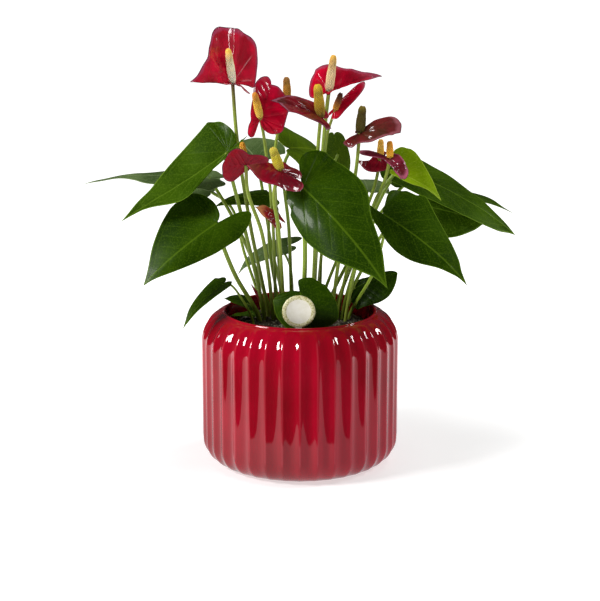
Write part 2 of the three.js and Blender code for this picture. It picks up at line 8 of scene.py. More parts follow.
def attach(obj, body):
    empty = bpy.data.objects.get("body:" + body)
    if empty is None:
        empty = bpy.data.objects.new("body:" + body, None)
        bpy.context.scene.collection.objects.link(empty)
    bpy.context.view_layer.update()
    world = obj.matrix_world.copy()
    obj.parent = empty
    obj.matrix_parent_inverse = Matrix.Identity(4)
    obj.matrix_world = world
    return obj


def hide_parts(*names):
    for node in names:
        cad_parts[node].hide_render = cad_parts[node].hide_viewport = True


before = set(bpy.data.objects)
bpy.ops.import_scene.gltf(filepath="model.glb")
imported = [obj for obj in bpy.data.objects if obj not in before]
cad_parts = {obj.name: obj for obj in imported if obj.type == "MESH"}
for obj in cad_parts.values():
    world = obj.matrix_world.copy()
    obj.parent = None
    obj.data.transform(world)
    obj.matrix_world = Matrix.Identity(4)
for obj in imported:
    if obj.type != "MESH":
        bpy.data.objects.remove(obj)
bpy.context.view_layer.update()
mm = 0.001  # the tables below are in millimetres, and every mesh is in metres
scene = bpy.context.scene


# Colours and node trees

def colour(red, green, blue):  # screen values, 0 to 255
    light = [((c / 255 + 0.055) / 1.055) ** 2.4 if c > 10 else c / 3295 for c in (red, green, blue)]
    return (*light, 1.0)


def addNode(tree, kind, inputs=None, **settings):
    node = tree.nodes.new(kind)
    for name, value in settings.items():
        setattr(node, name, value)
    for key, value in (inputs or {}).items():
        feed(node.inputs[key], value)
    return node


def feed(socket, value):  # a link from another socket, a colour in screen values, or a plain value
    value = getattr(value, "socket", value)
    if isinstance(value, bpy.types.NodeSocket):
        socket.id_data.links.new(value, socket)
    elif socket.type == "RGBA" and len(value) == 3:
        socket.default_value = colour(*value)
    else:
        socket.default_value = value


def output(tree, kind, inputs=None, **settings):
    return addNode(tree, kind, inputs, **settings).outputs[0]


class Value:  # a number in a node tree: a * b + c adds the Math nodes for it
    def __init__(self, socket):
        self.socket = socket

    def __add__(self, other):
        return compute("ADD", self, other)

    def __sub__(self, other):
        return compute("SUBTRACT", self, other)

    def __rsub__(self, other):
        return compute("SUBTRACT", other, self)

    def __mul__(self, other):
        return compute("MULTIPLY", self, other)

    def __truediv__(self, other):
        return compute("DIVIDE", self, other)


def compute(operation, *terms, clamp=False):
    tree = next(term.socket.id_data for term in terms if isinstance(term, Value))
    return Value(output(tree, "ShaderNodeMath", dict(enumerate(terms)), operation=operation, use_clamp=clamp))


def split(tree, vector):  # the three numbers of a vector
    return [Value(part) for part in addNode(tree, "ShaderNodeSeparateXYZ", {0: vector}).outputs]


def fade(value, start, end):  # 0 before start, 1 after end, smooth between
    tree = value.socket.id_data
    return Value(output(tree, "ShaderNodeMapRange", {0: value, 1: start, 2: end},
                        interpolation_type="SMOOTHSTEP"))


def mixColour(share, first, second):
    mix = addNode(share.socket.id_data, "ShaderNodeMix", {0: share, 6: first, 7: second},
                  data_type="RGBA", clamp_factor=True)
    return mix.outputs[2]


def colourRamp(value, stops):
    node = addNode(value.socket.id_data, "ShaderNodeValToRGB", {0: value})
    ramp = node.color_ramp
    while len(ramp.elements) < len(stops):
        ramp.elements.new(1.0)
    for element, (place, tone) in zip(ramp.elements, stops):
        element.position = place
        element.color = colour(*tone)
    return node.outputs[0]


def ownPlace(tree):  # the piece's own coordinates, in metres
    return addNode(tree, "ShaderNodeTexCoord").outputs["Object"]


def spots(tree, scale, detail=3.0, stretch=(1, 1, 1)):  # soft noise, scale is per metre
    mapped = output(tree, "ShaderNodeMapping", {"Vector": ownPlace(tree), "Scale": stretch})
    return Value(output(tree, "ShaderNodeTexNoise", {"Vector": mapped, "Scale": scale, "Detail": detail}))


def attribute(tree, name):
    return Value(addNode(tree, "ShaderNodeAttribute", attribute_name=name).outputs["Fac"])


def newMaterial(name, **values):
    material = bpy.data.materials.new(name)
    material.use_nodes = True
    tree = material.node_tree
    tree.nodes.clear()
    shader = addNode(tree, "ShaderNodeBsdfPrincipled")
    for key, value in values.items():
        feed(shader.inputs[key.replace("_", " ")], value)
    addNode(tree, "ShaderNodeOutputMaterial", {"Surface": shader.outputs[0]})
    return material, tree, shader


def finishMaterial(shader, body, height=None, depth=0.0, strength=1.0):  # colour, and bumps of that depth
    feed(shader.inputs["Base Color"], body)
    if height:
        bumps = {"Height": height, "Distance": depth, "Strength": strength}
        feed(shader.inputs["Normal"], output(shader.id_data, "ShaderNodeBump", bumps))


# Meshes and pieces

def meshFrom(name, points, faces, materials=(), faceMaterials=None, uv=None, floats=None):
    mesh = bpy.data.meshes.new(name)
    mesh.from_pydata([tuple(p) for p in points], [], [tuple(int(i) for i in f) for f in faces])
    for material in materials:
        mesh.materials.append(material)
    if faceMaterials is not None:
        mesh.polygons.foreach_set("material_index", np.asarray(faceMaterials, np.int32))
    if uv is not None:
        corners = np.zeros(len(mesh.loops), np.int32)
        mesh.loops.foreach_get("vertex_index", corners)
        layer = mesh.uv_layers.new(name="blade")
        layer.data.foreach_set("uv", np.asarray(uv, np.float32)[corners].ravel())
    for key, values in (floats or {}).items():
        mesh.attributes.new(key, "FLOAT", "POINT").data.foreach_set("value", np.asarray(values, np.float32))
    mesh.shade_smooth()
    mesh.validate()
    return mesh


def addObject(name, data):
    piece = bpy.data.objects.new(name, data)
    scene.collection.objects.link(piece)
    return piece


def addPiece(name, mesh, slot, *nodes):
    mesh.name = name
    piece = addObject(name, mesh)
    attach(piece, "root")
    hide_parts(*nodes)


def standUp(mesh, foot, lean):  # from the origin along Z to the foot, in millimetres, and along lean
    turn = Vector((0, 0, 1)).rotation_difference(lean).to_matrix().to_4x4()
    mesh.transform(Matrix.Translation(foot * mm) @ turn)


def lathe(profile, segments):  # (radius, height) in millimetres, from one end on the axis to the other
    points, rings, faces = [], [], []
    for radius, height in profile:
        if radius * mm < 1e-9:
            rings.append([len(points)] * segments)
            points.append((0.0, 0.0, height * mm))
            continue
        rings.append(list(range(len(points), len(points) + segments)))
        for k in range(segments):
            angle = 2 * math.pi * k / segments
            points.append((radius * mm * math.cos(angle), radius * mm * math.sin(angle), height * mm))
    for low, high in zip(rings, rings[1:]):
        for k in range(segments):
            corners = [low[k], low[(k + 1) % segments], high[(k + 1) % segments], high[k]]
            faces.append([c for i, c in enumerate(corners) if c not in corners[:i]])
    return np.array(points), faces


def arc(centre, radii, start, end, steps):  # points of a part of an ellipse, angles in degrees
    angles = [math.radians(start + (end - start) * i / steps) for i in range(steps + 1)]
    return [(centre[0] + radii[0] * math.cos(a), centre[1] + radii[1] * math.sin(a)) for a in angles]


# Geometry Nodes

def newTree(name, inputs):
    tree = bpy.data.node_groups.new(name, "GeometryNodeTree")
    tree.interface.new_socket(name="Geometry", in_out="INPUT", socket_type="NodeSocketGeometry")
    for label, kind in inputs.items():
        tree.interface.new_socket(name=label, in_out="INPUT", socket_type="NodeSocket" + kind)
    tree.interface.new_socket(name="Geometry", in_out="OUTPUT", socket_type="NodeSocketGeometry")
    given = addNode(tree, "NodeGroupInput").outputs
    return tree, {key: Value(given[key]) for key in ["Geometry", *inputs]}


def finishTree(tree, geometry, material):
    real = output(tree, "GeometryNodeRealizeInstances", {"Geometry": geometry})
    dressed = output(tree, "GeometryNodeSetMaterial", {"Geometry": real, "Material": material})
    addNode(tree, "NodeGroupOutput", {"Geometry": dressed})


def storeNumber(tree, geometry, name, value):
    return output(tree, "GeometryNodeStoreNamedAttribute", {"Geometry": geometry, "Name": name, "Value": value})


def readNumber(tree, name):
    return output(tree, "GeometryNodeInputNamedAttribute", {"Name": name})


def join(tree, *parts):
    socket = addNode(tree, "GeometryNodeJoinGeometry").inputs[0]
    for part in parts:
        feed(socket, part)
    return socket.node.outputs[0]


def turned(tree, radius, angle, height):  # a place at that angle round the axis
    return output(tree, "ShaderNodeCombineXYZ", {
        0: radius * compute("COSINE", angle), 1: radius * compute("SINE", angle), 2: height})


def ball(tree, radius):
    return output(tree, "GeometryNodeMeshIcoSphere", {"Radius": radius, "Subdivisions": 1})


def runTree(tree, mesh, values, smooth=True):  # the tree's result on the mesh, as a plain mesh
    carrier = addObject(tree.name + "Carrier", mesh)
    modifier = carrier.modifiers.new(tree.name, "NODES")
    modifier.node_group = tree
    for item in tree.interface.items_tree:
        if item.in_out == "INPUT" and item.name in values:
            modifier[item.identifier] = values[item.name]
    graph = bpy.context.evaluated_depsgraph_get()
    made = bpy.data.meshes.new_from_object(carrier.evaluated_get(graph), preserve_all_data_layers=True,
                                           depsgraph=graph)
    carrier.modifiers.clear()
    bpy.data.objects.remove(carrier)
    if smooth:
        made.shade_smooth()
    return made


# Blades: the outline, the curved sheet and its relief.
# Half outlines run from the notch round the lobe to the tip at (1, 0), as (along, across) shares of the
# blade's size.
leafLobe = [(-0.28, 0.045), (-0.74, 0.17), (-1, 0.48), (-0.62, 0.86), (0.08, 1)]
leafHalf = [*leafLobe, (0.36, 0.86), (0.66, 0.5), (0.88, 0.15)]
spatheHalf = [(-0.28, 0.055), (-0.76, 0.21), (-1, 0.5), (-0.6, 0.9), (0.12, 1),
              (0.42, 0.88), (0.72, 0.54), (0.91, 0.18)]
veinSlope = 0.38  # how far forward a side vein has run when it reaches the margin
veinTurn = math.atan2(1, veinSlope)


def smoothHalf(half, steps):  # the half outline as a Catmull-Rom line
    knots = np.array([half[0], *half, (1, 0), (1, 0)], float)
    line = []
    for before, first, second, after in zip(knots, knots[1:], knots[2:], knots[3:]):
        for i in range(steps):
            t = i / steps
            a, b = (second - before) / 2, (after - first) / 2
            line.append((2 * first - 2 * second + a + b) * t ** 3
                        + (3 * second - 3 * first - 2 * a - b) * t ** 2 + a * t + first)
    return [*line, knots[-1]]


def bladeOutline(halves, steps):  # from the notch round the right half to the tip and back on the left
    left, right = halves if isinstance(halves, tuple) else (halves, halves)
    back = [point * (1, -1) for point in reversed(smoothHalf(left, steps)[:-1])]
    return np.array(smoothHalf(right, steps) + back)


def unit(vector):
    vector = np.asarray(vector, float)
    return vector / np.linalg.norm(vector)


def bladePoints(blade, x, y):  # x along the blade (-1 lobe end, 1 tip), y across it (-1 left, 1 right)
    at, tip = np.array(blade["at"], float), np.array(blade["tip"], float)
    length = np.linalg.norm(tip - at)
    along = (tip - at) / length
    up = unit(blade["face"] - along * np.dot(blade["face"], along))
    right = np.cross(along, up)
    out = np.abs(y)
    isRight = y >= 0
    half, tilt, curl, lobe = (
        np.where(isRight, blade[key][1], blade[key][0]) for key in ("half", "tilt", "curl", "lobe"))
    across = out * half
    angle = np.radians(tilt + 0.5 * curl * out)
    forward = x * np.where(x < 0, lobe, length)
    arch = np.where(x < 0, 4 * blade["bow"] / length * forward, 4 * blade["bow"] * x * (1 - x))
    lift = np.where(x < 0, blade["rear"] * x * x, -blade["hook"] * (np.maximum(0, x - 0.6) / 0.4) ** 2)
    wave = blade["wave"] * out * out * np.sin(7 * x + 2 * isRight)
    return (at + np.outer(forward, along) + np.outer(np.sign(y) * across * np.cos(angle), right)
            + np.outer(across * np.sin(angle) + arch + lift + wave, up))


def surfaceNormals(points, faces):
    a, b, c = (points[faces[:, k]] for k in range(3))
    flat = np.cross(b - a, c - a)
    total = np.zeros_like(points)
    for k in range(3):
        np.add.at(total, faces[:, k], flat)
    return total / np.maximum(np.linalg.norm(total, axis=1), 1e-12)[:, None]


def bladeRelief(x, y, share, width, form):  # height of the veins and of the blisters between them
    out = np.abs(y)
    lateral = (x - veinSlope * out) * form["laterals"]
    turn = (np.arctan2(out, x) - veinTurn) * form["basals"]
    phase = np.where(lateral > 0, lateral, -turn)
    nearest = np.abs(phase - np.round(phase))
    inside = np.clip((form["collective"] - share) / 0.12, 0, 1) * np.clip(share / 0.15, 0, 1)
    blister = np.sqrt(np.clip(np.sin(np.pi * nearest), 0, 1)) * inside
    grooves = np.exp(-(nearest / 0.07) ** 2) * inside
    midrib = np.exp(-(out * width / form["midrib"]) ** 2) * np.clip((x + 0.02) / 0.05, 0, 1)
    midrib *= 1 - np.clip(x, 0, 1) ** 2
    ringVein = np.exp(-((share - form["collective"]) / 0.012) ** 2)
    return form["blister"] * blister - form["groove"] * (grooves + 0.5 * ringVein + 1.6 * midrib)


def roughness(points, size, seed):  # soft bumps between -1 and 1, this many mm apart
    return np.array([noise.noise(Vector(p) / size + Vector((seed, 7.1, 3.3))) for p in points])


def bladeMesh(name, blade, half, form, materials):
    outline = bladeOutline(half, form["steps"])
    shares = [*(np.arange(1, form["rings"]) / form["rings"]), 0.985, 1.0]
    xy = np.array([[0, 0], *(ray * share for ray in outline for share in shares)])
    share = np.array([0.0, *(share for ray in outline for share in shares)])
    rows = len(shares)
    faces = []
    for ray in range(len(outline) - 1):
        a, b = 1 + ray * rows, 1 + (ray + 1) * rows
        faces.append((0, a, b))
        for k in range(rows - 1):
            faces += [(a + k, a + k + 1, b + k + 1), (a + k, b + k + 1, b + k)]
    faces = np.array(faces)
    points = bladePoints(blade, xy[:, 0], xy[:, 1])
    normals = surfaceNormals(points, faces)
    turn = np.arctan2(xy[:, 1], xy[:, 0])
    height = bladeRelief(xy[:, 0], xy[:, 1], share, sum(blade["half"]) / 2, form)
    height += form["lumps"] * roughness(points, form["lumpSize"], len(name)) * np.clip(share * 3, 0, 1)
    height += form["frill"] * share ** 6 * np.sin(form["frills"] * turn + len(name))
    for angle, spread, rise in blade.get("folds", ()):  # from the stalk outwards, in degrees from the tip
        height += rise * share * np.exp(-((np.degrees(turn) - angle) / spread) ** 2)
    middle = points + normals * height[:, None]
    normals = surfaceNormals(middle, faces)
    thick = (form["thick"] * (1 - 0.5 * share ** 4))[:, None] / 2
    last = len(outline) - 1
    rim = [0, *range(1, rows), *(ray * rows + rows for ray in range(last + 1)),
           *(last * rows + k for k in range(rows - 1, 0, -1))]
    under = len(middle)
    edge = [(a, a + under, b + under, b) for a, b in zip(rim, rim[1:] + rim[:1])]
    closed = [tuple(f) for f in faces] + [(a + under, c + under, b + under) for a, b, c in faces] + edge
    sides = [0] * len(faces) + [1] * len(faces) + [0] * len(edge)
    solid = np.vstack([middle + normals * thick, middle - normals * thick]) * mm
    return meshFrom(name, solid, closed, materials, sides, np.tile(xy, (2, 1)), {"share": np.tile(share, 2)})


def bladeSockets(tree, form):  # places on the blade, and masks of its veins and its margin
    x, y, _ = split(tree, output(tree, "ShaderNodeUVMap", uv_map="blade"))
    out = compute("ABSOLUTE", y)
    share = attribute(tree, "share")
    lateral = (x - out * veinSlope) * form["laterals"]
    turn = (veinTurn - compute("ARCTAN2", out, x)) * form["basals"]
    nearest = compute("PINGPONG", compute("MAXIMUM", lateral, 0.0) + compute("MINIMUM", turn, 0.0), 0.5)
    inside = 1.0 - fade(share, form["collective"] - 0.08, form["collective"] + 0.01)
    return dict(x=x, share=share, veins=(1.0 - fade(nearest, 0.015, form["veinWidth"])) * inside,
                midrib=(1.0 - fade(out, 0.008, 0.035)) * fade(x, -0.02, 0.03),
                ringVein=compute("COMPARE", share, form["collective"], 0.007),
                blister=fade(nearest, 0.0, 0.5) * inside)


# Leaves

leafForm = dict(steps=8, rings=18, laterals=6.5, basals=2.6, collective=0.9, veinWidth=0.07, midrib=1.3,
                blister=0.16, groove=0.1, lumps=0.7, lumpSize=20, frill=0.4, frills=5, thick=0.6)

# Tones of a leaf: its depths, its lit face, its veins, and the underside.
leafLooks = {
    "dark": dict(deep=(26, 50, 0), lit=(44, 70, 2), vein=(86, 114, 20), under=(86, 112, 60)),
    "mid": dict(deep=(36, 62, 0), lit=(54, 82, 4), vein=(104, 134, 36), under=(100, 128, 72)),
    "olive": dict(deep=(56, 82, 0), lit=(76, 102, 0), vein=(116, 138, 30), under=(118, 140, 60)),
    "bright": dict(deep=(98, 130, 0), lit=(130, 160, 10), vein=(164, 186, 60), under=(132, 156, 60)),
    "pale": dict(deep=(54, 74, 34), lit=(84, 104, 60), vein=(132, 148, 104), under=(116, 134, 96)),
}
# How strongly the vein's tone shows, and how glossy the faces are.
leafFinish = dict(grain=0.25, veins=0.16, ringVein=0.3, midrib=0.55, rim=0.75, rough=0.26, underRough=0.5,
                  gloss=0.035, nearGloss=0.1, glossiest=("leaf_front", "leaf_right"))


def leafMaterial(name, look, upper, gloss):
    finish = leafFinish
    material, tree, shader = newMaterial(
        name, Coat_Weight=gloss, Coat_Roughness=0.12, Specular_IOR_Level=0.07)
    place = bladeSockets(tree, leafForm)
    grain = spots(tree, 900, 2.0)
    deep, lit = (look["deep"], look["lit"]) if upper else (look["under"], look["vein"])
    body = mixColour(fade(spots(tree, 28), 0.36, 0.68), deep, lit)
    ribs = compute("MAXIMUM", place["midrib"], place["ringVein"] * finish["ringVein"])
    for share in (fade(grain, 0.45, 0.7) * finish["grain"], place["veins"] * finish["veins"],
                  ribs * finish["midrib"],
                  fade(place["share"], 0.972, 0.99) * finish["rim"]):
        body = mixColour(share, body, look["vein"])
    rough = finish["rough"] if upper else finish["underRough"]
    feed(shader.inputs["Roughness"], spots(tree, 160) * 0.22 + rough)
    cells = addNode(tree, "ShaderNodeTexVoronoi", {"Vector": ownPlace(tree), "Scale": 420},
                    feature="DISTANCE_TO_EDGE").outputs["Distance"]
    fine = fade(Value(cells), 0.0, 0.18) * 0.5 + grain * 0.5 - place["veins"] * 0.9
    finishMaterial(shader, body, fine, 0.00005, 0.6)
    return material


# What most leaves share. A blade starts at its stalk (at); tilt, curl, half and lobe are (left, right).
leafBase = dict(look="mid", tilt=(4, 4), curl=(-14, -14), bow=4, rear=0, hook=2, wave=1, radius=1.3)
youngLeaves = ("leaf_bright", "leaf_back_centre")
leaves = {
    "leaf_upper_left": dict(
        at=(-57, -3, 254), tip=(-140, -34, 206), face=(0, -0.45, 1), half=(21, 28), lobe=(19, 13),
        tilt=(8, 24), bow=-3, rear=2, hook=3, radius=1.5, stem=((-29, 5), (-45, -2, 195), (-56, -5, 242)),
        outline=(
            [(-0.3, 0.02), (-0.7, 0.02), (-1, 0.04), (-0.7, 0.1), (-0.2, 0.2), (0.1, 0.3), (0.26, 0.45),
             (0.35, 0.6), (0.43, 0.8), (0.52, 0.82), (0.6, 0.7), (0.68, 0.5), (0.75, 0.32), (0.83, 0.15),
             (0.92, 0.05)],
            [(-0.3, 0.03), (-0.76, 0.05), (-0.98, 0.3), (-0.95, 0.58), (-0.76, 0.9), (-0.38, 1.14),
             (-0.05, 1.16), (0.08, 1.08), (0.21, 0.98), (0.32, 0.87), (0.48, 0.66), (0.59, 0.5),
             (0.68, 0.37), (0.81, 0.25), (0.92, 0.1)])),
    "leaf_far_left": dict(
        look="pale", at=(-72, 18, 229), tip=(-176, 36, 223), face=(0, -0.22, 1), half=(20, 17), lobe=(14, 14),
        tilt=(6, 6), curl=(-20, -20), radius=1.4, stem=((-25, 25), (-46, 14, 180), (-63, 12, 214)),
        outline=(
            [*leafLobe, (0.25, 0.98), (0.4, 0.9), (0.5, 0.75), (0.57, 0.5), (0.65, 0.25), (0.75, 0.12),
             (0.88, 0.08)],
            [*leafLobe, (0.25, 0.85), (0.4, 0.6), (0.5, 0.4), (0.58, 0.27), (0.65, 0.17), (0.75, 0.12),
             (0.88, 0.1), (0.95, 0.06)])),
    "leaf_left": dict(
        look="dark", at=(-65, -26, 201), tip=(-122, -50, 157), face=(-0.2, -0.8, 0.6), half=(20, 38),
        lobe=(26, 10), tilt=(-8, 2), curl=(-25, -10), rear=2, radius=1.7,
        stem=((-33, 0), (-52, -8, 155), (-63, -16, 186))),
    "leaf_front": dict(
        look="dark", at=(2, -42, 232), tip=(66, -94, 166), face=(0.1, -0.8, 0.6), half=(41, 27), lobe=(25, 9),
        tilt=(2, -12), curl=(-12, -30), bow=7, rear=5, hook=3, wave=1.2,
        folds=((-112, 4, 0.9), (-126, 4, 0.9), (-140, 4, 0.8), (-154, 4, 0.7)), radius=1.8,
        stem=((2, -8), (4, -14, 170), (3, -30, 216)),
        outline=(
            [(-0.2, 0.12), (-0.6, 0.21), (-0.9, 0.36), (-1, 0.6), (-0.83, 0.79), (-0.6, 0.87), (-0.12, 0.92),
             (0.1, 0.96), (0.21, 0.96), (0.35, 0.86), (0.5, 0.62), (0.65, 0.46), (0.76, 0.34), (0.91, 0.12)],
            [(-0.28, 0.045), (-0.9, 0.12), (-1, 0.28), (-0.6, 0.45), (0, 0.62), (0.12, 0.85), (0.28, 0.98),
             (0.4, 0.98), (0.55, 0.85), (0.69, 0.6), (0.82, 0.3), (0.9, 0.12)])),
    "leaf_right": dict(
        look="dark", at=(65, -28, 208.5), tip=(130, -58, 160), face=(0.1, -0.7, 0.7), half=(39, 18),
        lobe=(10, 19), tilt=(4, -12), curl=(-12, -25), bow=5, rear=3, hook=4, wave=1.2, radius=1.2,
        stem=((40, 6), (58, -6, 155), (66, -14, 186)),
        outline=(
            [(-0.3, 0.08), (-0.42, 0.18), (-0.83, 0.39), (-0.91, 0.55), (-0.4, 0.7), (0.05, 0.79),
             (0.12, 0.86), (0.18, 0.9), (0.31, 0.75), (0.41, 0.64), (0.57, 0.47), (0.73, 0.31), (0.81, 0.22),
             (0.88, 0.11), (0.96, 0.03)],
            [(-0.3, 0.02), (-0.7, 0.02), (-1, 0.03), (-0.95, 0.1), (-0.75, 0.2), (-0.42, 0.38),
             (-0.04, 0.52), (0.1, 0.75), (0.2, 0.92), (0.31, 1), (0.41, 0.98), (0.5, 0.9), (0.6, 0.72),
             (0.72, 0.42), (0.82, 0.22), (0.9, 0.08)])),
    "leaf_bright": dict(
        look="bright", at=(75, 4, 237.5), tip=(112.5, -8, 217), face=(0, -0.6, 0.8), half=(26, 10),
        lobe=(10, 2), tilt=(14, 30), curl=(-14, -6), bow=3, rear=2, wave=0.8, radius=1.4,
        stem=((34, 6), (52, 4, 185), (62, 4, 217)),
        outline=(
            [(-0.3, 0.1), (-0.8, 0.35), (-0.96, 0.65), (-0.8, 0.81), (-0.49, 0.92), (-0.1, 0.97),
             (0.07, 0.95), (0.26, 0.78), (0.38, 0.64), (0.5, 0.5), (0.74, 0.24), (0.88, 0.1)],
            leafHalf)),
    "leaf_far_right": dict(
        at=(80, 28, 236), tip=(175, 12, 185.5), face=(0, -0.35, 1), half=(22, 22), lobe=(14, 14), tilt=(8, 2),
        curl=(-20, -14), hook=3, radius=1.5, stem=((29, 22), (54, 22, 185), (71, 24, 222)),
        outline=(
            [(-0.28, 0.1), (-0.5, 0.5), (-0.35, 1.2), (0, 1.3), (0.08, 1.2), (0.2, 1.03), (0.36, 0.9),
             (0.66, 0.56), (0.88, 0.2)],
            [*leafLobe, (0.36, 0.95), (0.66, 0.85), (0.85, 0.55), (0.95, 0.2)])),
    "leaf_right_behind": dict(
        at=(86, 44, 222), tip=(176, 44, 198), face=(0, -0.1, 1), half=(18, 18), lobe=(14, 14), tilt=(6, 6),
        curl=(-20, -20), bow=3, radius=1.4, stem=((22, 30), (48, 30, 172), (74, 33, 208)),
        outline=[*leafLobe, (0.36, 0.9), (0.66, 0.7), (0.8, 0.45), (0.9, 0.15)]),
    "leaf_under_right": dict(
        at=(88, 14, 209), tip=(148, 6, 195), face=(0, -0.8, 0.6), half=(8, 26), lobe=(9, 9), curl=(-18, -18),
        stem=((35, 16), (56, 14, 165), (78, 14, 200)),
        outline=[*leafLobe, (0.36, 0.95), (0.66, 0.8), (0.88, 0.4)]),
    "leaf_back_right": dict(
        look="pale", at=(56, 47, 214), tip=(52, 104, 212), face=(0, -0.1, 1), half=(16, 18), lobe=(12, 12),
        rear=3, stem=((16, 32), (36, 40, 170), (52, 45, 204))),
    "leaf_back_centre": dict(
        look="olive", at=(-8, 20, 253), tip=(25, 70, 236), face=(0.2, -0.5, 0.9), half=(28, 22),
        lobe=(14, 12), tilt=(10, 0), rear=2, radius=1.4, stem=((-7, 24), (-9, 24, 185), (-13, 21, 238)),
        outline=(
            [(-0.28, 0.045), (-0.4, 0.15), (-0.35, 0.4), (-0.1, 0.65), (0.15, 0.92), (0.4, 1.05),
             (0.6, 0.92), (0.8, 0.5), (0.92, 0.2)],
            leafHalf)),
    "leaf_back_left": dict(
        look="pale", at=(-36, 47, 240), tip=(-54, 102, 246), face=(-0.3, -0.2, 1), half=(24, 26),
        lobe=(12, 12), tilt=(6, 6), rear=2, stem=((-13, 30), (-24, 36, 172), (-33, 47, 226))),
    "leaf_back_upright": dict(
        look="olive", at=(30, 18, 250), tip=(35, 34, 216), face=(0.1, -0.9, 0.45), half=(9.5, 9.5),
        lobe=(17, 18), curl=(-8, -8), bow=3, rear=2, wave=0.8, stem=((14, 26), (20, 22, 190), (27, 18, 240)),
        outline=[(-0.9, 0.0), (-1, 0.12), (-0.98, 0.42), (-0.7, 0.82), (0, 1), (0.36, 0.9), (0.66, 0.55),
                 (0.88, 0.2)]),
    "leaf_left_inner": dict(
        look="pale", at=(-74, 44, 214), tip=(-96, 92, 218), face=(-0.3, -0.3, 1), half=(20, 13), lobe=(10, 8),
        tilt=(4, 34), bow=3, rear=2, wave=0.8, radius=1.2, stem=((-31, 27), (-46, 32, 165), (-56, 33, 202))),
    "leaf_low_left": dict(
        at=(-26, 27, 213), tip=(-70, 18, 206), face=(0, -0.35, 1), half=(11, 8), lobe=(8, 6), tilt=(-24, 8),
        curl=(-16, -16), hook=1, wave=0.8, stem=((-17, 23), (-25, 26, 170), (-26, 28, 206))),
    "leaf_over_rim_left": dict(
        at=(-61, -14, 149), tip=(-93, -36, 119), face=(-0.5, -0.4, 0.8), half=(11, 12), lobe=(5, 6),
        tilt=(12, 12), curl=(-10, -10), bow=3, hook=1, wave=0.6, radius=0.9,
        stem=((-38, -8), (-48, -10, 138), (-56, -12, 148))),
    "leaf_rim_left": dict(
        at=(-43, 20, 124), tip=(-62, 6, 132), face=(0, -0.6, 0.8), half=(8, 9), lobe=(5, 5), tilt=(6, 6),
        curl=(-8, -8), bow=1, hook=0, wave=0.4, radius=0.9, stem=((-34, 22), (-39, 21, 121))),
    "leaf_on_soil": dict(
        at=(-38, 6, 119), tip=(-57, 2, 118.5), face=(0, -0.2, 1), half=(5, 5), lobe=(3, 3), curl=(-8, -8),
        bow=1, hook=0, wave=0.3, radius=0.8, stem=((-33, 8.4), (-34.3, 7.6, 117.8))),
    "leaf_behind_tag": dict(
        look="dark", at=(0, -33, 147), tip=(9.5, -42, 117), face=(0, -0.9, 0.3), half=(25.5, 23.5),
        lobe=(10, 3.5), tilt=(0, 0), bow=3, hook=0, wave=0.6, radius=1.1, stem=((-4, -22), (-5, -27, 132)),
        outline=(
            [(-0.3, 0.03), (-0.8, 0.03), (-1, 0.1), (-0.98, 0.27), (-0.8, 0.5), (-0.18, 0.73), (0.19, 0.9),
             (0.47, 0.99), (0.75, 0.97), (0.92, 0.85), (0.99, 0.5)],
            [(-0.3, 0.05), (-0.9, 0.25), (-1, 0.5), (-0.9, 0.7), (-0.3, 0.88), (0.1, 0.97), (0.25, 1),
             (0.41, 0.99), (0.52, 0.94), (0.65, 0.86), (0.78, 0.74), (0.92, 0.55), (0.99, 0.3)])),
    "leaf_over_rim_right": dict(
        look="dark", at=(45, 25, 136), tip=(80, 22, 150), face=(0, -0.7, 0.8), half=(6, 22), lobe=(4, 5),
        bow=3, hook=0, wave=0.8, radius=1, stem=((38, 26), (42, 25.5, 125)),
        outline=(
            [(-0.4, 0.2), (-0.8, 0.4), (-0.9, 0.8), (-0.4, 1), (0.13, 1), (0.34, 0.7), (0.55, 0.66),
             (0.82, 0.66), (0.95, 0.4)],
            [(-0.3, 0.05), (-0.8, 0.2), (-1, 0.5), (-0.6, 0.85), (0.18, 0.96), (0.45, 1), (0.65, 0.93),
             (0.79, 0.75), (0.91, 0.45), (0.97, 0.18)])),
    "leaf_behind_stems": dict(
        look="pale", at=(-14, 48, 166), tip=(-54, 58, 141), face=(-0.3, -0.6, 0.7), half=(9, 9),
        lobe=(10, 16), tilt=(10, 10), curl=(-10, -10), bow=5, wave=0.6, radius=1,
        stem=((-6, 34), (-8, 42, 150))),
}

# Stems

soilTop = 114.5
rootDepth = 16
stemSides = 14
stemSteps = 14  # between two points of its route


def smoothLine(points, steps):  # a centripetal Catmull-Rom line through the points
    points = [np.array(p, float) for p in points]
    knots = [2 * points[0] - points[1], *points, 2 * points[-1] - points[-2]]
    line = []
    for a, b, c, d in zip(knots, knots[1:], knots[2:], knots[3:]):
        ab, bc, cd = (math.sqrt(np.linalg.norm(q - p)) for p, q in ((a, b), (b, c), (c, d)))
        start = bc * ((b - a) / ab - (c - a) / (ab + bc) + (c - b) / bc)
        end = bc * ((c - b) / bc - (d - b) / (bc + cd) + (d - c) / cd)
        for i in range(steps):
            t = i / steps
            line.append((2 * b - 2 * c + start + end) * t ** 3
                        + (3 * c - 3 * b - 2 * start - end) * t ** 2 + start * t + b)
    return np.array([*line, points[-1]])


def makeStemTree():
    tree, given = newTree("stem", {"Sides": "Int", "Material": "Material"})
    curve = output(tree, "GeometryNodeMeshToCurve", {"Mesh": given["Geometry"]})
    curve = storeNumber(tree, curve, "along", addNode(tree, "GeometryNodeSplineParameter").outputs["Factor"])
    ring = output(tree, "GeometryNodeCurvePrimitiveCircle", {"Resolution": given["Sides"], "Radius": 1.0})
    tube = output(tree, "GeometryNodeCurveToMesh", {
        "Curve": curve, "Profile Curve": ring, "Scale": readNumber(tree, "width"), "Fill Caps": True})
    finishTree(tree, tube, given["Material"])
    return tree


stemTree = makeStemTree()


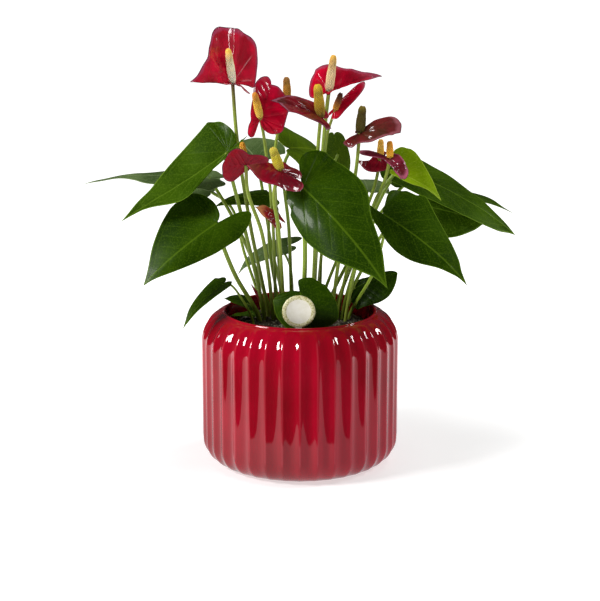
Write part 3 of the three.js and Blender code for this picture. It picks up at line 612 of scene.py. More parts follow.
def stemMesh(stem, end, radius, taper, swelling, material):  # swelling is (extra, place, length) near its top
    (x, y), *passes = stem
    line = smoothLine([(x, y, soilTop - rootDepth), (x, y, soilTop + 2), *passes, end], stemSteps)
    place = np.linspace(0, 1, len(line))
    extra, centre, length = swelling
    widths = radius * (taper[0] - taper[1] * place + extra * np.exp(-((place - centre) / length) ** 2))
    wire = meshFrom("stemWire", line * mm, [], floats={"width": widths * mm})
    wire.edges.add(len(line) - 1)
    wire.edges.foreach_set("vertices", [k for i in range(len(line) - 1) for k in (i, i + 1)])
    return runTree(stemTree, wire, {"Sides": stemSides, "Material": material})


def stemMaterial(name, foot, middle, top, streak):
    material, tree, shader = newMaterial(
        name, Roughness=0.4, Coat_Weight=0.15, Coat_Roughness=0.2, Specular_IOR_Level=0.35)
    body = colourRamp(attribute(tree, "along"), [(0.0, foot), (0.3, middle), (0.86, middle), (1.0, top)])
    lines = spots(tree, 700, 3.0, (1, 1, 0.06))
    body = mixColour(fade(lines, 0.45, 0.7) * 0.5, body, streak)
    body = mixColour(fade(spots(tree, 1400, 2.0), 0.62, 0.72) * 0.4, body, (170, 172, 120))
    finishMaterial(shader, body, lines + spots(tree, 1800) * 0.3, 0.0003, 0.5)
    return material


petioleTone = stemMaterial("petioleGreen", (104, 116, 34), (136, 160, 50), (122, 146, 44), (104, 130, 34))

for name, leaf in leaves.items():
    leaf = {**leafBase, **leaf}
    look = leafLooks[leaf["look"]]
    gloss = leafFinish["nearGloss" if name in leafFinish["glossiest"] else "gloss"]
    tones = [leafMaterial(name + "Upper", look, True, gloss),
             leafMaterial(name + "Under", look, False, leafFinish["gloss"])]
    ending = np.array(leaf["at"]) + 1.5 * unit(np.subtract(leaf["tip"], leaf["at"]))
    petiole = stemMesh(leaf["stem"], ending, leaf["radius"], (1.12, 0.16), (0.2, 0.95, 0.04), petioleTone)
    blade = bladeMesh(name, leaf, leaf.get("outline", leafHalf), leafForm, tones)
    addPiece(name + "_blade", blade, "young_leaf" if name in youngLeaves else "leaf", name)
    addPiece(name + "_petiole", petiole, "stalk", name)
print("leaves")

# Flowers: stalk, spathe and spadix

spatheForm = dict(steps=8, rings=18, laterals=4.5, basals=2.2, collective=0.9, veinWidth=0.06, midrib=1.2,
                  blister=0.45, groove=0.12, lumps=0.9, lumpSize=11, frill=0.5, frills=6, thick=0.6)

# Tones of a spathe: its face, its depths, its tip, its margin (with that band's width), which is a painted
# sheen on the red spathes and a tan edge on the withering one, its thin rim and the underside.
crimson = dict(main=(200, 0, 42), deep=(168, 0, 30), tip=(172, 6, 42), edge=(150, 52, 80), band=0.05,
               rim=(76, 8, 36), under=(128, 28, 36))
maroon = dict(main=(134, 14, 34), deep=(84, 4, 16), tip=(92, 34, 34), edge=(158, 92, 110), band=0.07,
              rim=(70, 18, 36), under=(104, 56, 40))

# The wax of the upper face and of the underside, and how strongly the tones of the parts show.
spatheFinish = dict(coat=(0.8, 0.3), coatRough=(0.07, 0.2), rough=(0.28, 0.45), veins=0.35, tip=0.85, edge=0.8,
                    blister=0.8, bump=0.00016, bumpShare=0.5)


def spatheMaterial(name, look, upper):
    finish = spatheFinish
    coat, coatRough, rough = (finish[key][0 if upper else 1] for key in ("coat", "coatRough", "rough"))
    material, tree, shader = newMaterial(
        name, Coat_Weight=coat, Coat_Roughness=coatRough, Specular_IOR_Level=0.08)
    place = bladeSockets(tree, spatheForm)
    clouds = spots(tree, 55)
    body = mixColour(fade(clouds, 0.34, 0.66), look["deep"], look["main" if upper else "under"])
    body = mixColour(place["veins"] * finish["veins"], body, look["deep"])
    body = mixColour(fade(place["x"], 0.45, 0.95) * finish["tip"], body, look["tip"])
    # The margin band is painted sheen on the red spathes, mauve along the edge; the withering one's tan edge is
    # its own colour.
    ragged = place["share"] + (spots(tree, 180) - 0.5) * 0.16
    edge = fade(ragged, 1.0 - look["band"] * 1.4, 1.0 - look["band"] * 0.5)
    body = mixColour(edge * finish["edge"], body, look["edge"])
    body = mixColour(fade(place["share"], 0.978, 0.992), body, look["rim"])
    feed(shader.inputs["Roughness"], clouds * 0.15 + rough)
    fine = spots(tree, 420) + place["blister"] * finish["blister"]
    finishMaterial(shader, body, fine, finish["bump"], finish["bumpShare"])
    return material


# The spadix is a blunt rod, narrower at its foot, with its florets round it in a spiral.
goldenAngle = 2.39996
spadixForm = dict(waist=0.82, blunt=0.8, bluntLength=0.22, foot=0.78, footLength=0.1, core=0.9, ring=0.95,
                  floret=0.72, spacing=1.45, sides=20, rings=26)


def spadixRadius(t, radius):
    form = spadixForm
    taper = form["waist"] + (1 - form["waist"]) * math.sin(math.pi * min(1, 1.4 * t))
    rounded = math.sqrt(max(0, 1 - (max(0, t - form["blunt"]) / form["bluntLength"]) ** 2))
    return radius * taper * rounded * (form["foot"] + (1 - form["foot"]) * min(1, t / form["footLength"]))


def makeFloretTree():
    form = spadixForm
    tree, given = newTree("florets", {
        "Count": "Int", "Height": "Float", "Foot": "Float", "Radius": "Float", "Floret": "Float",
        "Material": "Material"})
    index = Value(output(tree, "GeometryNodeInputIndex"))
    t = (index + 0.5) / given["Count"]
    taper = compute("SINE", compute("MINIMUM", t * 1.4, 1.0) * math.pi) * (1 - form["waist"]) + form["waist"]
    past = compute("MAXIMUM", t - form["blunt"], 0.0) / form["bluntLength"]
    rounded = compute("SQRT", compute("MAXIMUM", 1.0 - past * past, 0.0))
    foot = compute("MINIMUM", t / form["footLength"], 1.0) * (1 - form["foot"]) + form["foot"]
    out = (taper * rounded) * (foot * given["Radius"])
    line = output(tree, "GeometryNodeMeshLine", {"Count": given["Count"]})
    line = output(tree, "GeometryNodeSetPosition", {
        "Geometry": line,
        "Position": turned(tree, out, index * goldenAngle, given["Foot"] + t * given["Height"])})
    size = addNode(tree, "FunctionNodeRandomValue", {2: 0.85, 3: 1.12, "Seed": 4}, data_type="FLOAT").outputs[1]
    many = output(tree, "GeometryNodeInstanceOnPoints", {
        "Points": line, "Instance": ball(tree, given["Floret"]), "Scale": size})
    whole = output(tree, "GeometryNodeRealizeInstances", {"Geometry": join(tree, given["Geometry"], many)})
    x, y, z = split(tree, output(tree, "GeometryNodeInputPosition"))
    whole = storeNumber(tree, whole, "along", compute("DIVIDE", z, given["Height"], clamp=True))
    whole = storeNumber(tree, whole, "raised", compute("SQRT", x * x + y * y) / given["Radius"])
    finishTree(tree, whole, given["Material"])
    return tree


floretTree = makeFloretTree()


def spadixMesh(flower, material):
    form = spadixForm
    foot = -1.0 if flower.get("green") else 0.4
    height, radius = flower["spadix"], flower["spadixRadius"]
    core = [(spadixRadius(t, radius) * form["core"], foot + t * height)
            for t in np.linspace(0.0, 1.0, form["rings"])]
    rod = meshFrom("rod", *lathe([(0, foot), *core, (0, foot + 1.015 * height)], form["sides"]))
    made = runTree(floretTree, rod, {
        "Count": int(2 * math.pi * radius * height / form["spacing"]), "Height": height * mm, "Foot": foot * mm,
        "Radius": radius * form["ring"] * mm, "Floret": form["floret"] * mm, "Material": material})
    standUp(made, Vector(flower["at"]) + Vector((0, flower.get("seat", 0), 0)), Vector(flower["lean"]))
    return made


def spadixMaterial(name, tones):
    material, tree, shader = newMaterial(name, Roughness=0.45, Subsurface_Weight=0.12, Subsurface_Scale=0.002)
    along = attribute(tree, "along")
    wander = along + (spots(tree, 300) - 0.5) * 0.25
    body = colourRamp(wander, list(zip((0.0, 0.55, 0.95), tones)))
    # Painted shade: a darker copy of the middle tone between the florets, fading out towards the tip.
    dark = (*(c * 0.35 for c in colour(*tones[1])[:3]), 1.0)
    creviceShade = 1.0 - fade(attribute(tree, "raised"), 0.9, 1.04)
    body = mixColour(creviceShade * (fade(1.0 - along, 0.0, 0.3) * 0.9), body, dark)
    finishMaterial(shader, body, spots(tree, 1500, 2.0), 0.0002, 0.5)
    return material


# What most flowers share. They are laid out as the leaves are, with the spadix's height, radius and lean.
flowerBase = dict(curl=(-10, -10), bow=2, rear=0, hook=0, wave=0.5, radius=1.5)
flowers = {
    "flower_tall_left": dict(
        at=(-53, 4, 307), tip=(-84, -30, 312), face=(0.3, 0, 1), half=(14, 43), lobe=(13, 26), tilt=(-8, 70),
        curl=(0, 10), bow=0, rear=-4,
        folds=((92, 7, 2.2), (68, 6, 1.5), (118, 9, -1.3), (140, 7, 0.9), (35, 8, 1.2)),
        stem=((-26, 12), (-40, 9, 192), (-50, 6, 263)), spadix=30, spadixRadius=2.9, lean=(-0.1, -0.45, 1),
        spadixTones=[(255, 246, 220), (255, 240, 206), (255, 204, 90)],
        look=dict(crimson, main=(214, 0, 50), deep=(160, 0, 30), edge=(168, 60, 92), band=0.07),
        outline=(
            [(-0.3, 0.01), (-0.7, 0.02), (-1, 0.05), (-1.12, 0.4), (-1, 0.6), (-0.6, 0.4), (0, 0.2),
             (0.4, 0.12), (0.7, 0.06), (0.9, 0.03)],
            [(-0.3, 0.01), (-0.7, 0.015), (-1, 0.03), (-1.1, 0.3), (-1.12, 0.62), (-0.8, 0.9), (0.14, 1),
             (0.46, 0.99), (0.56, 0.7), (0.66, 0.38), (0.81, 0.14)])),
    "flower_left_of_centre": dict(
        at=(-31, -14, 282), tip=(-22.5, -4, 307), face=(0.1, -1, 0.1), half=(13, 20), lobe=(14, 10),
        tilt=(15, 0), curl=(0, -20), wave=0.8,
        folds=((100, 8, 0.9), (60, 8, 0.9), (130, 8, 1), (-60, 7, 0.8), (20, 8, 0.8)), radius=1.3,
        stem=((-20, 9), (-22, 9, 197), (-28, -4, 263)), spadix=23, spadixRadius=2.7, lean=(-0.2, -0.5, 1),
        spadixTones=[(232, 196, 90), (230, 180, 60), (214, 138, 36)],
        look=dict(crimson, deep=(124, 0, 22), under=(104, 62, 50)),
        outline=(
            [(-0.28, 0.01), (-0.75, 0.01), (-1.05, 0.02), (-1.15, 0.2), (-1.02, 0.42), (-0.6, 0.54),
             (-0.25, 0.55), (0.3, 0.85), (0.75, 1), (1.05, 0.8), (1.18, 0.4), (1.1, 0.1)],
            [(-0.28, 0.055), (-0.7, 0.25), (-0.84, 0.62), (-0.45, 0.97), (0.12, 1.03), (0.5, 0.97),
             (0.8, 0.7), (1, 0.3)])),
    "flower_hidden_left": dict(
        at=(-10, 14, 294), tip=(-20, 32, 284), face=(0, 0.2, 1), half=(9, 9), lobe=(5, 5), tilt=(10, 10),
        radius=1.3, stem=((-15, 13), (-19, 12, 200), (-19.5, 12, 256)), spadix=16, spadixRadius=2.9,
        lean=(-0.05, 0, 1), look=crimson, spadixTones=[(210, 160, 50), (206, 150, 50), (170, 120, 50)]),
    "flower_low_left": dict(
        at=(-42, -26, 247), tip=(-60, -34, 245), face=(-0.2, 0.9, 0.4), half=(13, 13), lobe=(15.5, 6),
        tilt=(6, 6), stem=((-22, 4), (-30, -6, 187), (-41, -20, 225)), spadix=17, spadixRadius=2.3, seat=2.6,
        lean=(-0.2, 0.3, 1), spadixTones=[(236, 196, 70), (238, 184, 56), (226, 158, 40)],
        look=dict(crimson, main=(136, 20, 38), under=(134, 24, 40)),
        outline=(
            [(-0.28, 0.05), (-0.8, 0.15), (-1.05, 0.35), (-0.95, 0.62), (-0.5, 0.72), (-0.1, 0.78),
             (0.15, 1.05), (0.45, 1.15), (0.75, 0.95), (0.97, 0.4)],
            [(-0.28, 0.05), (-0.5, 0.2), (-0.4, 0.4), (0, 0.5), (0.25, 0.85), (0.5, 1.1), (0.75, 1),
             (0.95, 0.5)])),
    "flower_centre_low": dict(
        at=(-15, -46, 246), tip=(-41, -50, 251), face=(0, -0.5, 0.9), half=(18, 13), lobe=(18, 18),
        tilt=(0, 12), curl=(-20, -20), wave=0.8, stem=((-13, 2), (-17, -18, 195), (-20, -41, 228)), spadix=18,
        spadixRadius=3.6, lean=(-0.35, 0, 1), spadixTones=[(208, 184, 60), (210, 192, 44), (216, 200, 74)],
        look=dict(crimson, main=(150, 8, 34), deep=(110, 4, 24), tip=(104, 54, 40), edge=(170, 60, 80)),
        outline=(
            [(-0.3, 0.01), (-0.8, 0.03), (-1.05, 0.2), (-1.05, 0.5), (-0.75, 0.85), (0, 1), (0.4, 0.98),
             (0.7, 0.7), (0.9, 0.3)],
            [(-0.3, 0.01), (-0.8, 0.02), (-1, 0.15), (-0.95, 0.5), (-0.6, 0.85), (-0.2, 0.8), (0.1, 0.5),
             (0.4, 0.3), (0.7, 0.15), (0.9, 0.06)])),
    "flower_centre_twisted": dict(
        at=(16, -18, 283), tip=(-23, -34, 298), face=(-0.2, -0.3, 1), half=(16, 13), lobe=(8.5, 8.5),
        tilt=(-5, 35), wave=0.8,
        folds=((18, 4, 0.8), (-16, 4, 0.8), (38, 6, 0.9), (-40, 6, -0.9), (2, 4, -0.6)),
        stem=((8, 0), (11, 2, 150), (14, -7, 254)), spadix=25, spadixRadius=3.8, lean=(-0.1, 0, 1),
        spadixTones=[(136, 102, 24), (196, 160, 32), (222, 188, 42)],
        look=dict(maroon, main=(156, 10, 34), deep=(92, 4, 18), tip=(88, 40, 34))),
    "flower_tall_right": dict(
        at=(22.5, -6, 301.5), tip=(65, 14, 312), face=(0, -0.4, 1), half=(25, 8), lobe=(9, 6), tilt=(30, 20),
        wave=0.6, folds=((-40, 7, 0.9), (-70, 7, 0.9), (-20, 5, -0.6)), radius=1.6,
        stem=((11, 10), (14, 8, 190), (20, -4, 278)), spadix=28, spadixRadius=3.1, lean=(0.13, 0, 1),
        spadixTones=[(236, 204, 160), (236, 208, 160), (236, 182, 76)],
        look=dict(crimson, deep=(140, 0, 26), edge=(156, 64, 88), band=0.1, tip=(140, 62, 82)),
        outline=(
            [(-0.28, 0.02), (-0.9, 0.02), (-1.5, 0.03), (-1.7, 0.15), (-1.45, 0.38), (-1, 0.6), (-0.4, 0.8),
             (0, 0.92), (0.15, 0.92), (0.3, 0.8), (0.5, 0.52), (0.65, 0.32), (0.82, 0.17), (0.93, 0.09)],
            [(-0.28, 0.05), (-0.6, 0.3), (-0.7, 0.6), (-0.3, 0.8), (0, 0.6), (0.25, 0.25), (0.45, 0.2),
             (0.6, 0.5), (0.75, 0.8), (0.88, 0.6)])),
    "flower_narrow": dict(
        at=(27.5, 8, 285), tip=(51, 24, 306), face=(-0.2, -1, 0.5), half=(2.5, 6.5), lobe=(7.5, 6.5),
        tilt=(25, 0), curl=(0, 0), radius=1.2, stem=((16, 14), (18, 14, 190), (21, 9, 262)), spadix=14,
        spadixRadius=2.2, lean=(0.36, 0.05, 1), spadixTones=[(232, 160, 50), (140, 80, 36), (92, 54, 34)],
        look=dict(crimson, edge=(170, 72, 92), band=0.1),
        outline=(
            [(-0.28, 0.1), (-0.8, 0.3), (-1, 0.6), (-0.5, 0.9), (0, 0.8), (0.5, 0.8), (0.8, 0.7), (0.95, 0.4)],
            [(-0.28, 0.05), (-0.76, 0.21), (-1, 0.5), (-0.6, 0.9), (0.12, 1), (0.5, 1), (0.8, 0.8),
             (0.95, 0.45)])),
    "flower_right_dark": dict(
        at=(47, -4, 269), tip=(79, -10, 271), face=(0, -0.5, 0.9), half=(12.5, 12), lobe=(6, 13),
        tilt=(25, -10), bow=3, hook=1, wave=0.8, folds=((-28, 7, 1.2), (25, 7, -1), (60, 7, 0.8)),
        stem=((26, 2), (32, 2, 170), (44, -2, 236)), spadix=20.5, spadixRadius=3.6, lean=(0.1, 0, 1),
        spadixTones=[(96, 84, 18), (88, 76, 16), (120, 104, 24)],
        look=dict(maroon, main=(124, 24, 36), deep=(74, 40, 26), edge=(150, 84, 92), band=0.12),
        outline=(
            [(-0.28, 0.04), (-0.6, 0.1), (-0.7, 0.2), (-0.4, 0.3), (0, 0.3), (0.25, 0.5), (0.5, 0.85),
             (0.75, 1.05), (0.92, 0.9), (1, 0.45)],
            spatheHalf)),
    "flower_right_cup": dict(
        at=(64, 10, 246), tip=(44, 4, 246), face=(0.1, -0.6, 0.8), half=(10.5, 8), lobe=(7.5, 7),
        tilt=(-18, 12), bow=-2, radius=1.4, stem=((31, 12), (46, 10, 185), (60, 9, 225)), spadix=15,
        spadixRadius=2.5, lean=(0.03, 0, 1), spadixTones=[(255, 206, 80), (255, 206, 84), (255, 196, 76)],
        look=dict(maroon, main=(150, 16, 40), edge=(160, 60, 80)),
        outline=(
            spatheHalf,
            [(-0.28, 0.05), (-0.7, 0.3), (-0.8, 0.6), (-0.4, 0.9), (0, 0.7), (0.2, 0.5), (0.4, 0.15),
             (0.7, 0.06)])),
    "flower_right_pink": dict(
        at=(71, -6, 249), tip=(81, -18, 235), face=(0.2, -0.6, 0.8), half=(7.5, 16.4), lobe=(5, 19),
        tilt=(20, 2), folds=((20, 7, -0.9), (-30, 7, 0.7)), radius=1.4,
        stem=((37, 0), (52, -2, 190), (68, -4, 234)), spadix=13, spadixRadius=2.5, lean=(-0.03, 0.02, 1),
        spadixTones=[(255, 196, 50), (246, 176, 40), (240, 160, 36)],
        look=dict(maroon, main=(126, 34, 54), edge=(178, 92, 116), band=0.16),
        outline=(
            [(-0.28, 0.04), (-0.76, 0.25), (-0.8, 0.6), (-0.4, 0.9), (0.1, 1), (0.5, 1), (0.8, 0.9),
             (1, 0.5), (1.05, 0.15)],
            [(-0.2, 0.08), (-0.46, 0.25), (-0.8, 0.46), (-1, 0.8), (-1, 1), (-0.8, 0.98), (-0.5, 0.68),
             (-0.2, 0.42), (0.17, 0.33), (0.43, 0.29), (0.8, 0.2), (1, 0.1)])),
    "flower_withering": dict(
        at=(-19, 0, 200.5), tip=(-36, -3, 210), face=(0.2, -0.6, 0.8), half=(8, 8), lobe=(8, 10),
        tilt=(-10, -10), radius=1.2, stem=((-14, 8), (-17, 3, 160)), spadix=9, spadixRadius=1.7,
        lean=(0.03, -0.02, 1), green=True, spadixTones=[(116, 122, 44), (98, 112, 34), (86, 100, 30)],
        look=dict(maroon, main=(170, 16, 40), deep=(124, 8, 28), tip=(204, 156, 96), edge=(180, 120, 76),
                  band=0.14, under=(150, 40, 44))),
}

for name, flower in flowers.items():
    flower = {**flowerBase, **flower}
    top = (84, 44, 36) if name == "flower_tall_left" else (132, 136, 50)
    stalkTone = stemMaterial(name + "Stalk", (108, 116, 36), (142, 162, 56), top, (110, 132, 38))
    stalk = stemMesh(flower["stem"], flower.get("join", flower["at"]), flower["radius"], (1.08, 0.14),
                     (0.06, 1, 0.02), stalkTone)
    tones = [spatheMaterial(name + side, flower["look"], side == "Upper") for side in ("Upper", "Under")]
    bract = bladeMesh(name, flower, flower.get("outline", spatheHalf), spatheForm, tones)
    florets = spadixMesh(flower, spadixMaterial(name + "Florets", flower["spadixTones"]))
    addPiece(name + "_scape", stalk, "stalk", name + "_stalk")
    addPiece(name + "_bract", bract, "spathe", name + "_spathe")
    addPiece(name + "_florets", florets, "spadix", name + ("_stalk" if flower.get("green") else "_spadix"))
print("flowers")

# Pot

pot = dict(flutes=36, depth=2.4, columns=12, crestRound=0.1)

# The wall's line as (radius, height), with the share of the flutes' depth, from the foot up the outside.
potOuter = [(r, h, i / 10) for i, (r, h) in enumerate(arc((60, 20), (20, 20), -90, 0, 10))]
potOuter += [(80, h, 1) for h in np.arange(24, 96, 4)]
shoulder = arc((57, 98.5), (23, 26), 0, 76, 30)
potOuter += [(r, h, min(1, max(0, (27 - i) / 11)) ** 0.7) for i, (r, h) in enumerate(shoulder)]
potOuter += [(62.35, 123.95, 0), *((r, h, 0) for r, h in arc((61.35, 124.15), (0.85, 0.85), 5, 180, 10))]
potInner = [(60.5, 120), (60.9, 112), (61.6, 107), *arc((60.5, 99), (14.9, 9), 60, 0, 6), (75.4, 60)]
potInner += [*arc((58, 24), (17.4, 18), 0, -90, 8), (0, 6)]
potRows = [(0, 0, 0), (55, 0, 0), *potOuter, *((r, h, 0) for r, h in potInner)]


def makePotTree():  # a grid of the wall's rows and the flutes' columns, closed round the axis
    tree, given = newTree("pot", {
        "Rows": "Int", "Flutes": "Int", "Columns": "Int", "Depth": "Float", "CrestRound": "Float",
        "Material": "Material"})
    columns = given["Flutes"] * given["Columns"]
    grid = output(tree, "GeometryNodeMeshGrid", {"Vertices X": columns + 1.0, "Vertices Y": given["Rows"]})
    index = Value(output(tree, "GeometryNodeInputIndex"))
    column = compute("FLOOR", (index + 0.5) / given["Rows"])
    row = index - column * given["Rows"]
    angle = column * (2 * math.pi) / columns

    def read(value, kind):
        return output(tree, "GeometryNodeSampleIndex", {
            "Geometry": given["Geometry"], "Index": row, "Value": value}, data_type=kind, domain="POINT")

    radius, _, height = split(tree, read(output(tree, "GeometryNodeInputPosition"), "FLOAT_VECTOR"))
    share = Value(read(readNumber(tree, "share"), "FLOAT"))
    sine = compute("SINE", angle * given["Flutes"] * 0.5)
    soft = compute("SQRT", sine * sine + given["CrestRound"] * given["CrestRound"])
    cut = (soft - given["CrestRound"]) * (given["Depth"] * share)
    made = storeNumber(tree, grid, "crest", (1.0 - soft) * share)
    made = storeNumber(tree, made, "fluted", share)
    made = output(tree, "GeometryNodeSetPosition", {
        "Geometry": made, "Position": turned(tree, radius - cut, angle, height)})
    made = output(tree, "GeometryNodeMergeByDistance", {"Geometry": made, "Distance": 0.00001})
    finishTree(tree, made, given["Material"])
    return tree


# The crests are painted paler, a painted sheen, and the glaze lies thick between them. Scales are per metre.
glaze = dict(coat=0.6, coatRough=0.04, rough=0.02, roughMore=0.08, ripple=0.0002, rippleShare=0.4,
             deep=(138, 0, 18), full=(168, 0, 33), cloudScale=16, crest=(214, 84, 96), crestSheenShare=0.2,
             pool=(128, 0, 20), poolShare=0.3, speck=(70, 0, 12), speckShare=0.3, speckScale=1100)


def glazeMaterial():
    material, tree, shader = newMaterial(
        "crimsonGlaze", Coat_Weight=glaze["coat"], Coat_Roughness=glaze["coatRough"])
    crest, fluted = attribute(tree, "crest"), attribute(tree, "fluted")
    body = mixColour(fade(spots(tree, glaze["cloudScale"]), 0.3, 0.7), glaze["deep"], glaze["full"])
    # Painted sheen: pale pink along the crests.
    body = mixColour(fade(crest, 0.72, 0.9) * glaze["crestSheenShare"], body, glaze["crest"])
    body = mixColour((1.0 - fade(crest, 0.0, 0.35)) * fluted * glaze["poolShare"], body, glaze["pool"])
    specks = fade(spots(tree, glaze["speckScale"], 1.0), 0.74, 0.78)
    body = mixColour(specks * glaze["speckShare"], body, glaze["speck"])
    feed(shader.inputs["Roughness"], spots(tree, 240) * glaze["roughMore"] + glaze["rough"])
    ripples = spots(tree, 60, 2.0) + spots(tree, 500, 2.0) * 0.12
    finishMaterial(shader, body, ripples, glaze["ripple"], glaze["rippleShare"])
    return material


potLine = meshFrom("potLine", [(r * mm, 0, h * mm) for r, h, share in potRows], [],
                   floats={"share": [share for r, h, share in potRows]})
potMesh = runTree(makePotTree(), potLine, {
    "Rows": len(potRows), "Flutes": pot["flutes"], "Columns": pot["columns"], "Depth": pot["depth"] * mm,
    "CrestRound": pot["crestRound"], "Material": glazeMaterial()})
addPiece("glazed_pot", potMesh, "glaze", "pot")
print("pot")

# Soil

soil = dict(density=300000.0, crumb=1.6, seed=5, toneSeed=11, sizeSeed=12, turnSeed=13, sides=64, waves=0.8)

soilRows = [(0, 6.3), *arc((58, 24), (17.1, 17.7), -90, 0, 6)]
soilRows += [(75.1, 60), *arc((60.5, 99), (14.6, 7), 0, 60, 5)]
soilRows += [(60.6, 106), (60.2, 108), (57, 109.4), (53, 111.8), (49, soilTop - 0.6)]
soilRows += [*((r, soilTop) for r in np.arange(45, 0, -3)), (0, soilTop)]


def makeSoilTree():  # crumbs scattered over the upper side
    tree, given = newTree("soil", {
        "Density": "Float", "Crumb": "Float", "Seed": "Int", "Soil Material": "Material",
        "Crumb Material": "Material"})
    upwards = split(tree, output(tree, "GeometryNodeInputNormal"))[2]
    upper = output(tree, "FunctionNodeCompare", {0: upwards, 1: 0.7}, operation="GREATER_THAN")
    points = output(tree, "GeometryNodeDistributePointsOnFaces", {
        "Mesh": given["Geometry"], "Selection": upper, "Density": given["Density"], "Seed": given["Seed"]})

    def draw(low, high, seed):
        return output(tree, "FunctionNodeRandomValue", {0: low, 1: high, "Seed": soil[seed]},
                      data_type="FLOAT_VECTOR")

    tone = addNode(tree, "FunctionNodeRandomValue", {2: 0.0, 3: 1.0, "Seed": soil["toneSeed"]},
                   data_type="FLOAT").outputs[1]
    crumbs = output(tree, "GeometryNodeInstanceOnPoints", {
        "Points": storeNumber(tree, points, "tone", tone), "Instance": ball(tree, given["Crumb"]),
        "Rotation": draw((0.0, 0.0, 0.0), (0.5, 0.5, 6.28), "turnSeed"),
        "Scale": draw((0.35, 0.35, 0.3), (1.3, 1.0, 0.8), "sizeSeed")})
    crumbs = output(tree, "GeometryNodeRealizeInstances", {"Geometry": crumbs})
    dressed = [output(tree, "GeometryNodeSetMaterial", {"Geometry": part, "Material": given[label]})
               for part, label in ((given["Geometry"], "Soil Material"), (crumbs, "Crumb Material"))]
    addNode(tree, "NodeGroupOutput", {"Geometry": join(tree, *dressed)})
    return tree


def soilMaterial(name, stops):
    material, tree, shader = newMaterial(name, Roughness=0.85)
    blend = attribute(tree, "tone") * 0.85 + spots(tree, 350) * 0.25
    finishMaterial(shader, colourRamp(blend, stops), spots(tree, 1600, 4.0), 0.0006, 0.9)
    return material


soilPoints, soilFaces = lathe(soilRows, soil["sides"])
for p in soilPoints:
    if p[2] > (soilTop - 0.2) * mm:
        p[2] += soil["waves"] * mm * math.sin(310 * p[0] + 0.5) * math.cos(270 * p[1])
earth = soilMaterial("darkEarth", [(0.0, (24, 19, 15)), (0.5, (38, 30, 24)), (1.0, (52, 42, 32))])
crumbs = soilMaterial("crumbs", [
    (0.0, (22, 18, 14)), (0.45, (48, 38, 28)), (0.8, (70, 58, 44)), (0.9, (120, 116, 100)),
    (1.0, (150, 150, 136))])
soilMesh = runTree(makeSoilTree(), meshFrom("soilBody", soilPoints, soilFaces), {
    "Density": soil["density"], "Crumb": soil["crumb"] * mm, "Seed": soil["seed"], "Soil Material": earth,
    "Crumb Material": crumbs}, smooth=False)
addPiece("potting_mix", soilMesh, "soil", "soil")
print("soil", len(soilMesh.polygons))

# Tag and shoot

tag = dict(centre=(-1, -48, 135), radius=13, thickness=1.2, pickWidth=5, pickFoot=99, bevel=0.2, segments=96)


def goldMaterial():
    material, tree, shader = newMaterial("agedGold", Roughness=0.35, Metallic=0.1)
    body = colourRamp(spots(tree, 700, 4.0), [
        (0.3, (150, 146, 70)), (0.45, (206, 200, 140)), (0.58, (240, 236, 200)), (0.75, (170, 160, 90))])
    finishMaterial(shader, body, spots(tree, 900), 0.0004, 0.7)
    return material


def cardMaterial():
    material, tree, shader = newMaterial("creamCard", Roughness=0.5)
    body = mixColour(fade(spots(tree, 180), 0.3, 0.7), (236, 232, 214), (246, 243, 230))
    finishMaterial(shader, body, spots(tree, 1500, 2.0), 0.00015, 0.5)
    return material


def addTag():  # a round disc with a raised ring, upright on a flat pointed pick
    x, y, z = tag["centre"]
    r, half, b = tag["radius"], tag["thickness"] / 2, tag["bevel"]
    rows = [(0, half * 0.7), (r - 3.2, half * 0.7), (r - 2.9, half * 0.95), (r - 2.4, half * 1.3),
            (r - 1.2, half * 1.35), (r - 0.4, half * 1.1), (r, half * 0.5), (r, -half * 0.6), (r - 0.3, -half),
            (0, -half)]
    points, faces = lathe(rows[::-1], tag["segments"])
    radial = np.hypot(points[:, 0], points[:, 1])
    gold = [int(max(radial[c] for c in f) > (r - 3.1) * mm) for f in faces]
    points = np.stack([points[:, 0] + x * mm, -points[:, 2] + y * mm, points[:, 1] + z * mm], 1)
    w, d, foot = tag["pickWidth"] / 2, half * 0.9, tag["pickFoot"]
    section = [(-w, -d + b), (-w + b, -d), (w - b, -d), (w, -d + b)]
    section += [(-across, -deep) for across, deep in section]
    levels = [(foot, 0.1), (foot + 6, 1), (z - r + 1.5, 1)]  # height and width of the pick
    pick = [((x + across * s) * mm, (y + deep) * mm, h * mm) for h, s in levels for across, deep in section]
    start, count = len(points), len(section)
    for low in (start, start + count):
        faces += [(low + k, low + (k + 1) % count, low + (k + 1) % count + count, low + k + count)
                  for k in range(count)]
    faces += [[start + k for k in reversed(range(count))], [start + 2 * count + k for k in range(count)]]
    gold += [0] * (len(faces) - len(gold))
    mesh = meshFrom("tag", np.vstack([points, pick]), faces, [cardMaterial(), goldMaterial()], gold)
    mesh.set_sharp_from_angle(angle=math.radians(35))
    addPiece("round_tag", mesh, "tag", "plant_tag")


addTag()

shoot = dict(soil=(-24, 19), tip=(-40, 12, 143), radius=2.1, segments=28, winding=160)
shootLine = [(0, -8), (0.95, -7.6), (1, -4), (1, 1), (0.8, 10), (1, 16), (0.58, 26), (0.2, 32), (0, 34)]


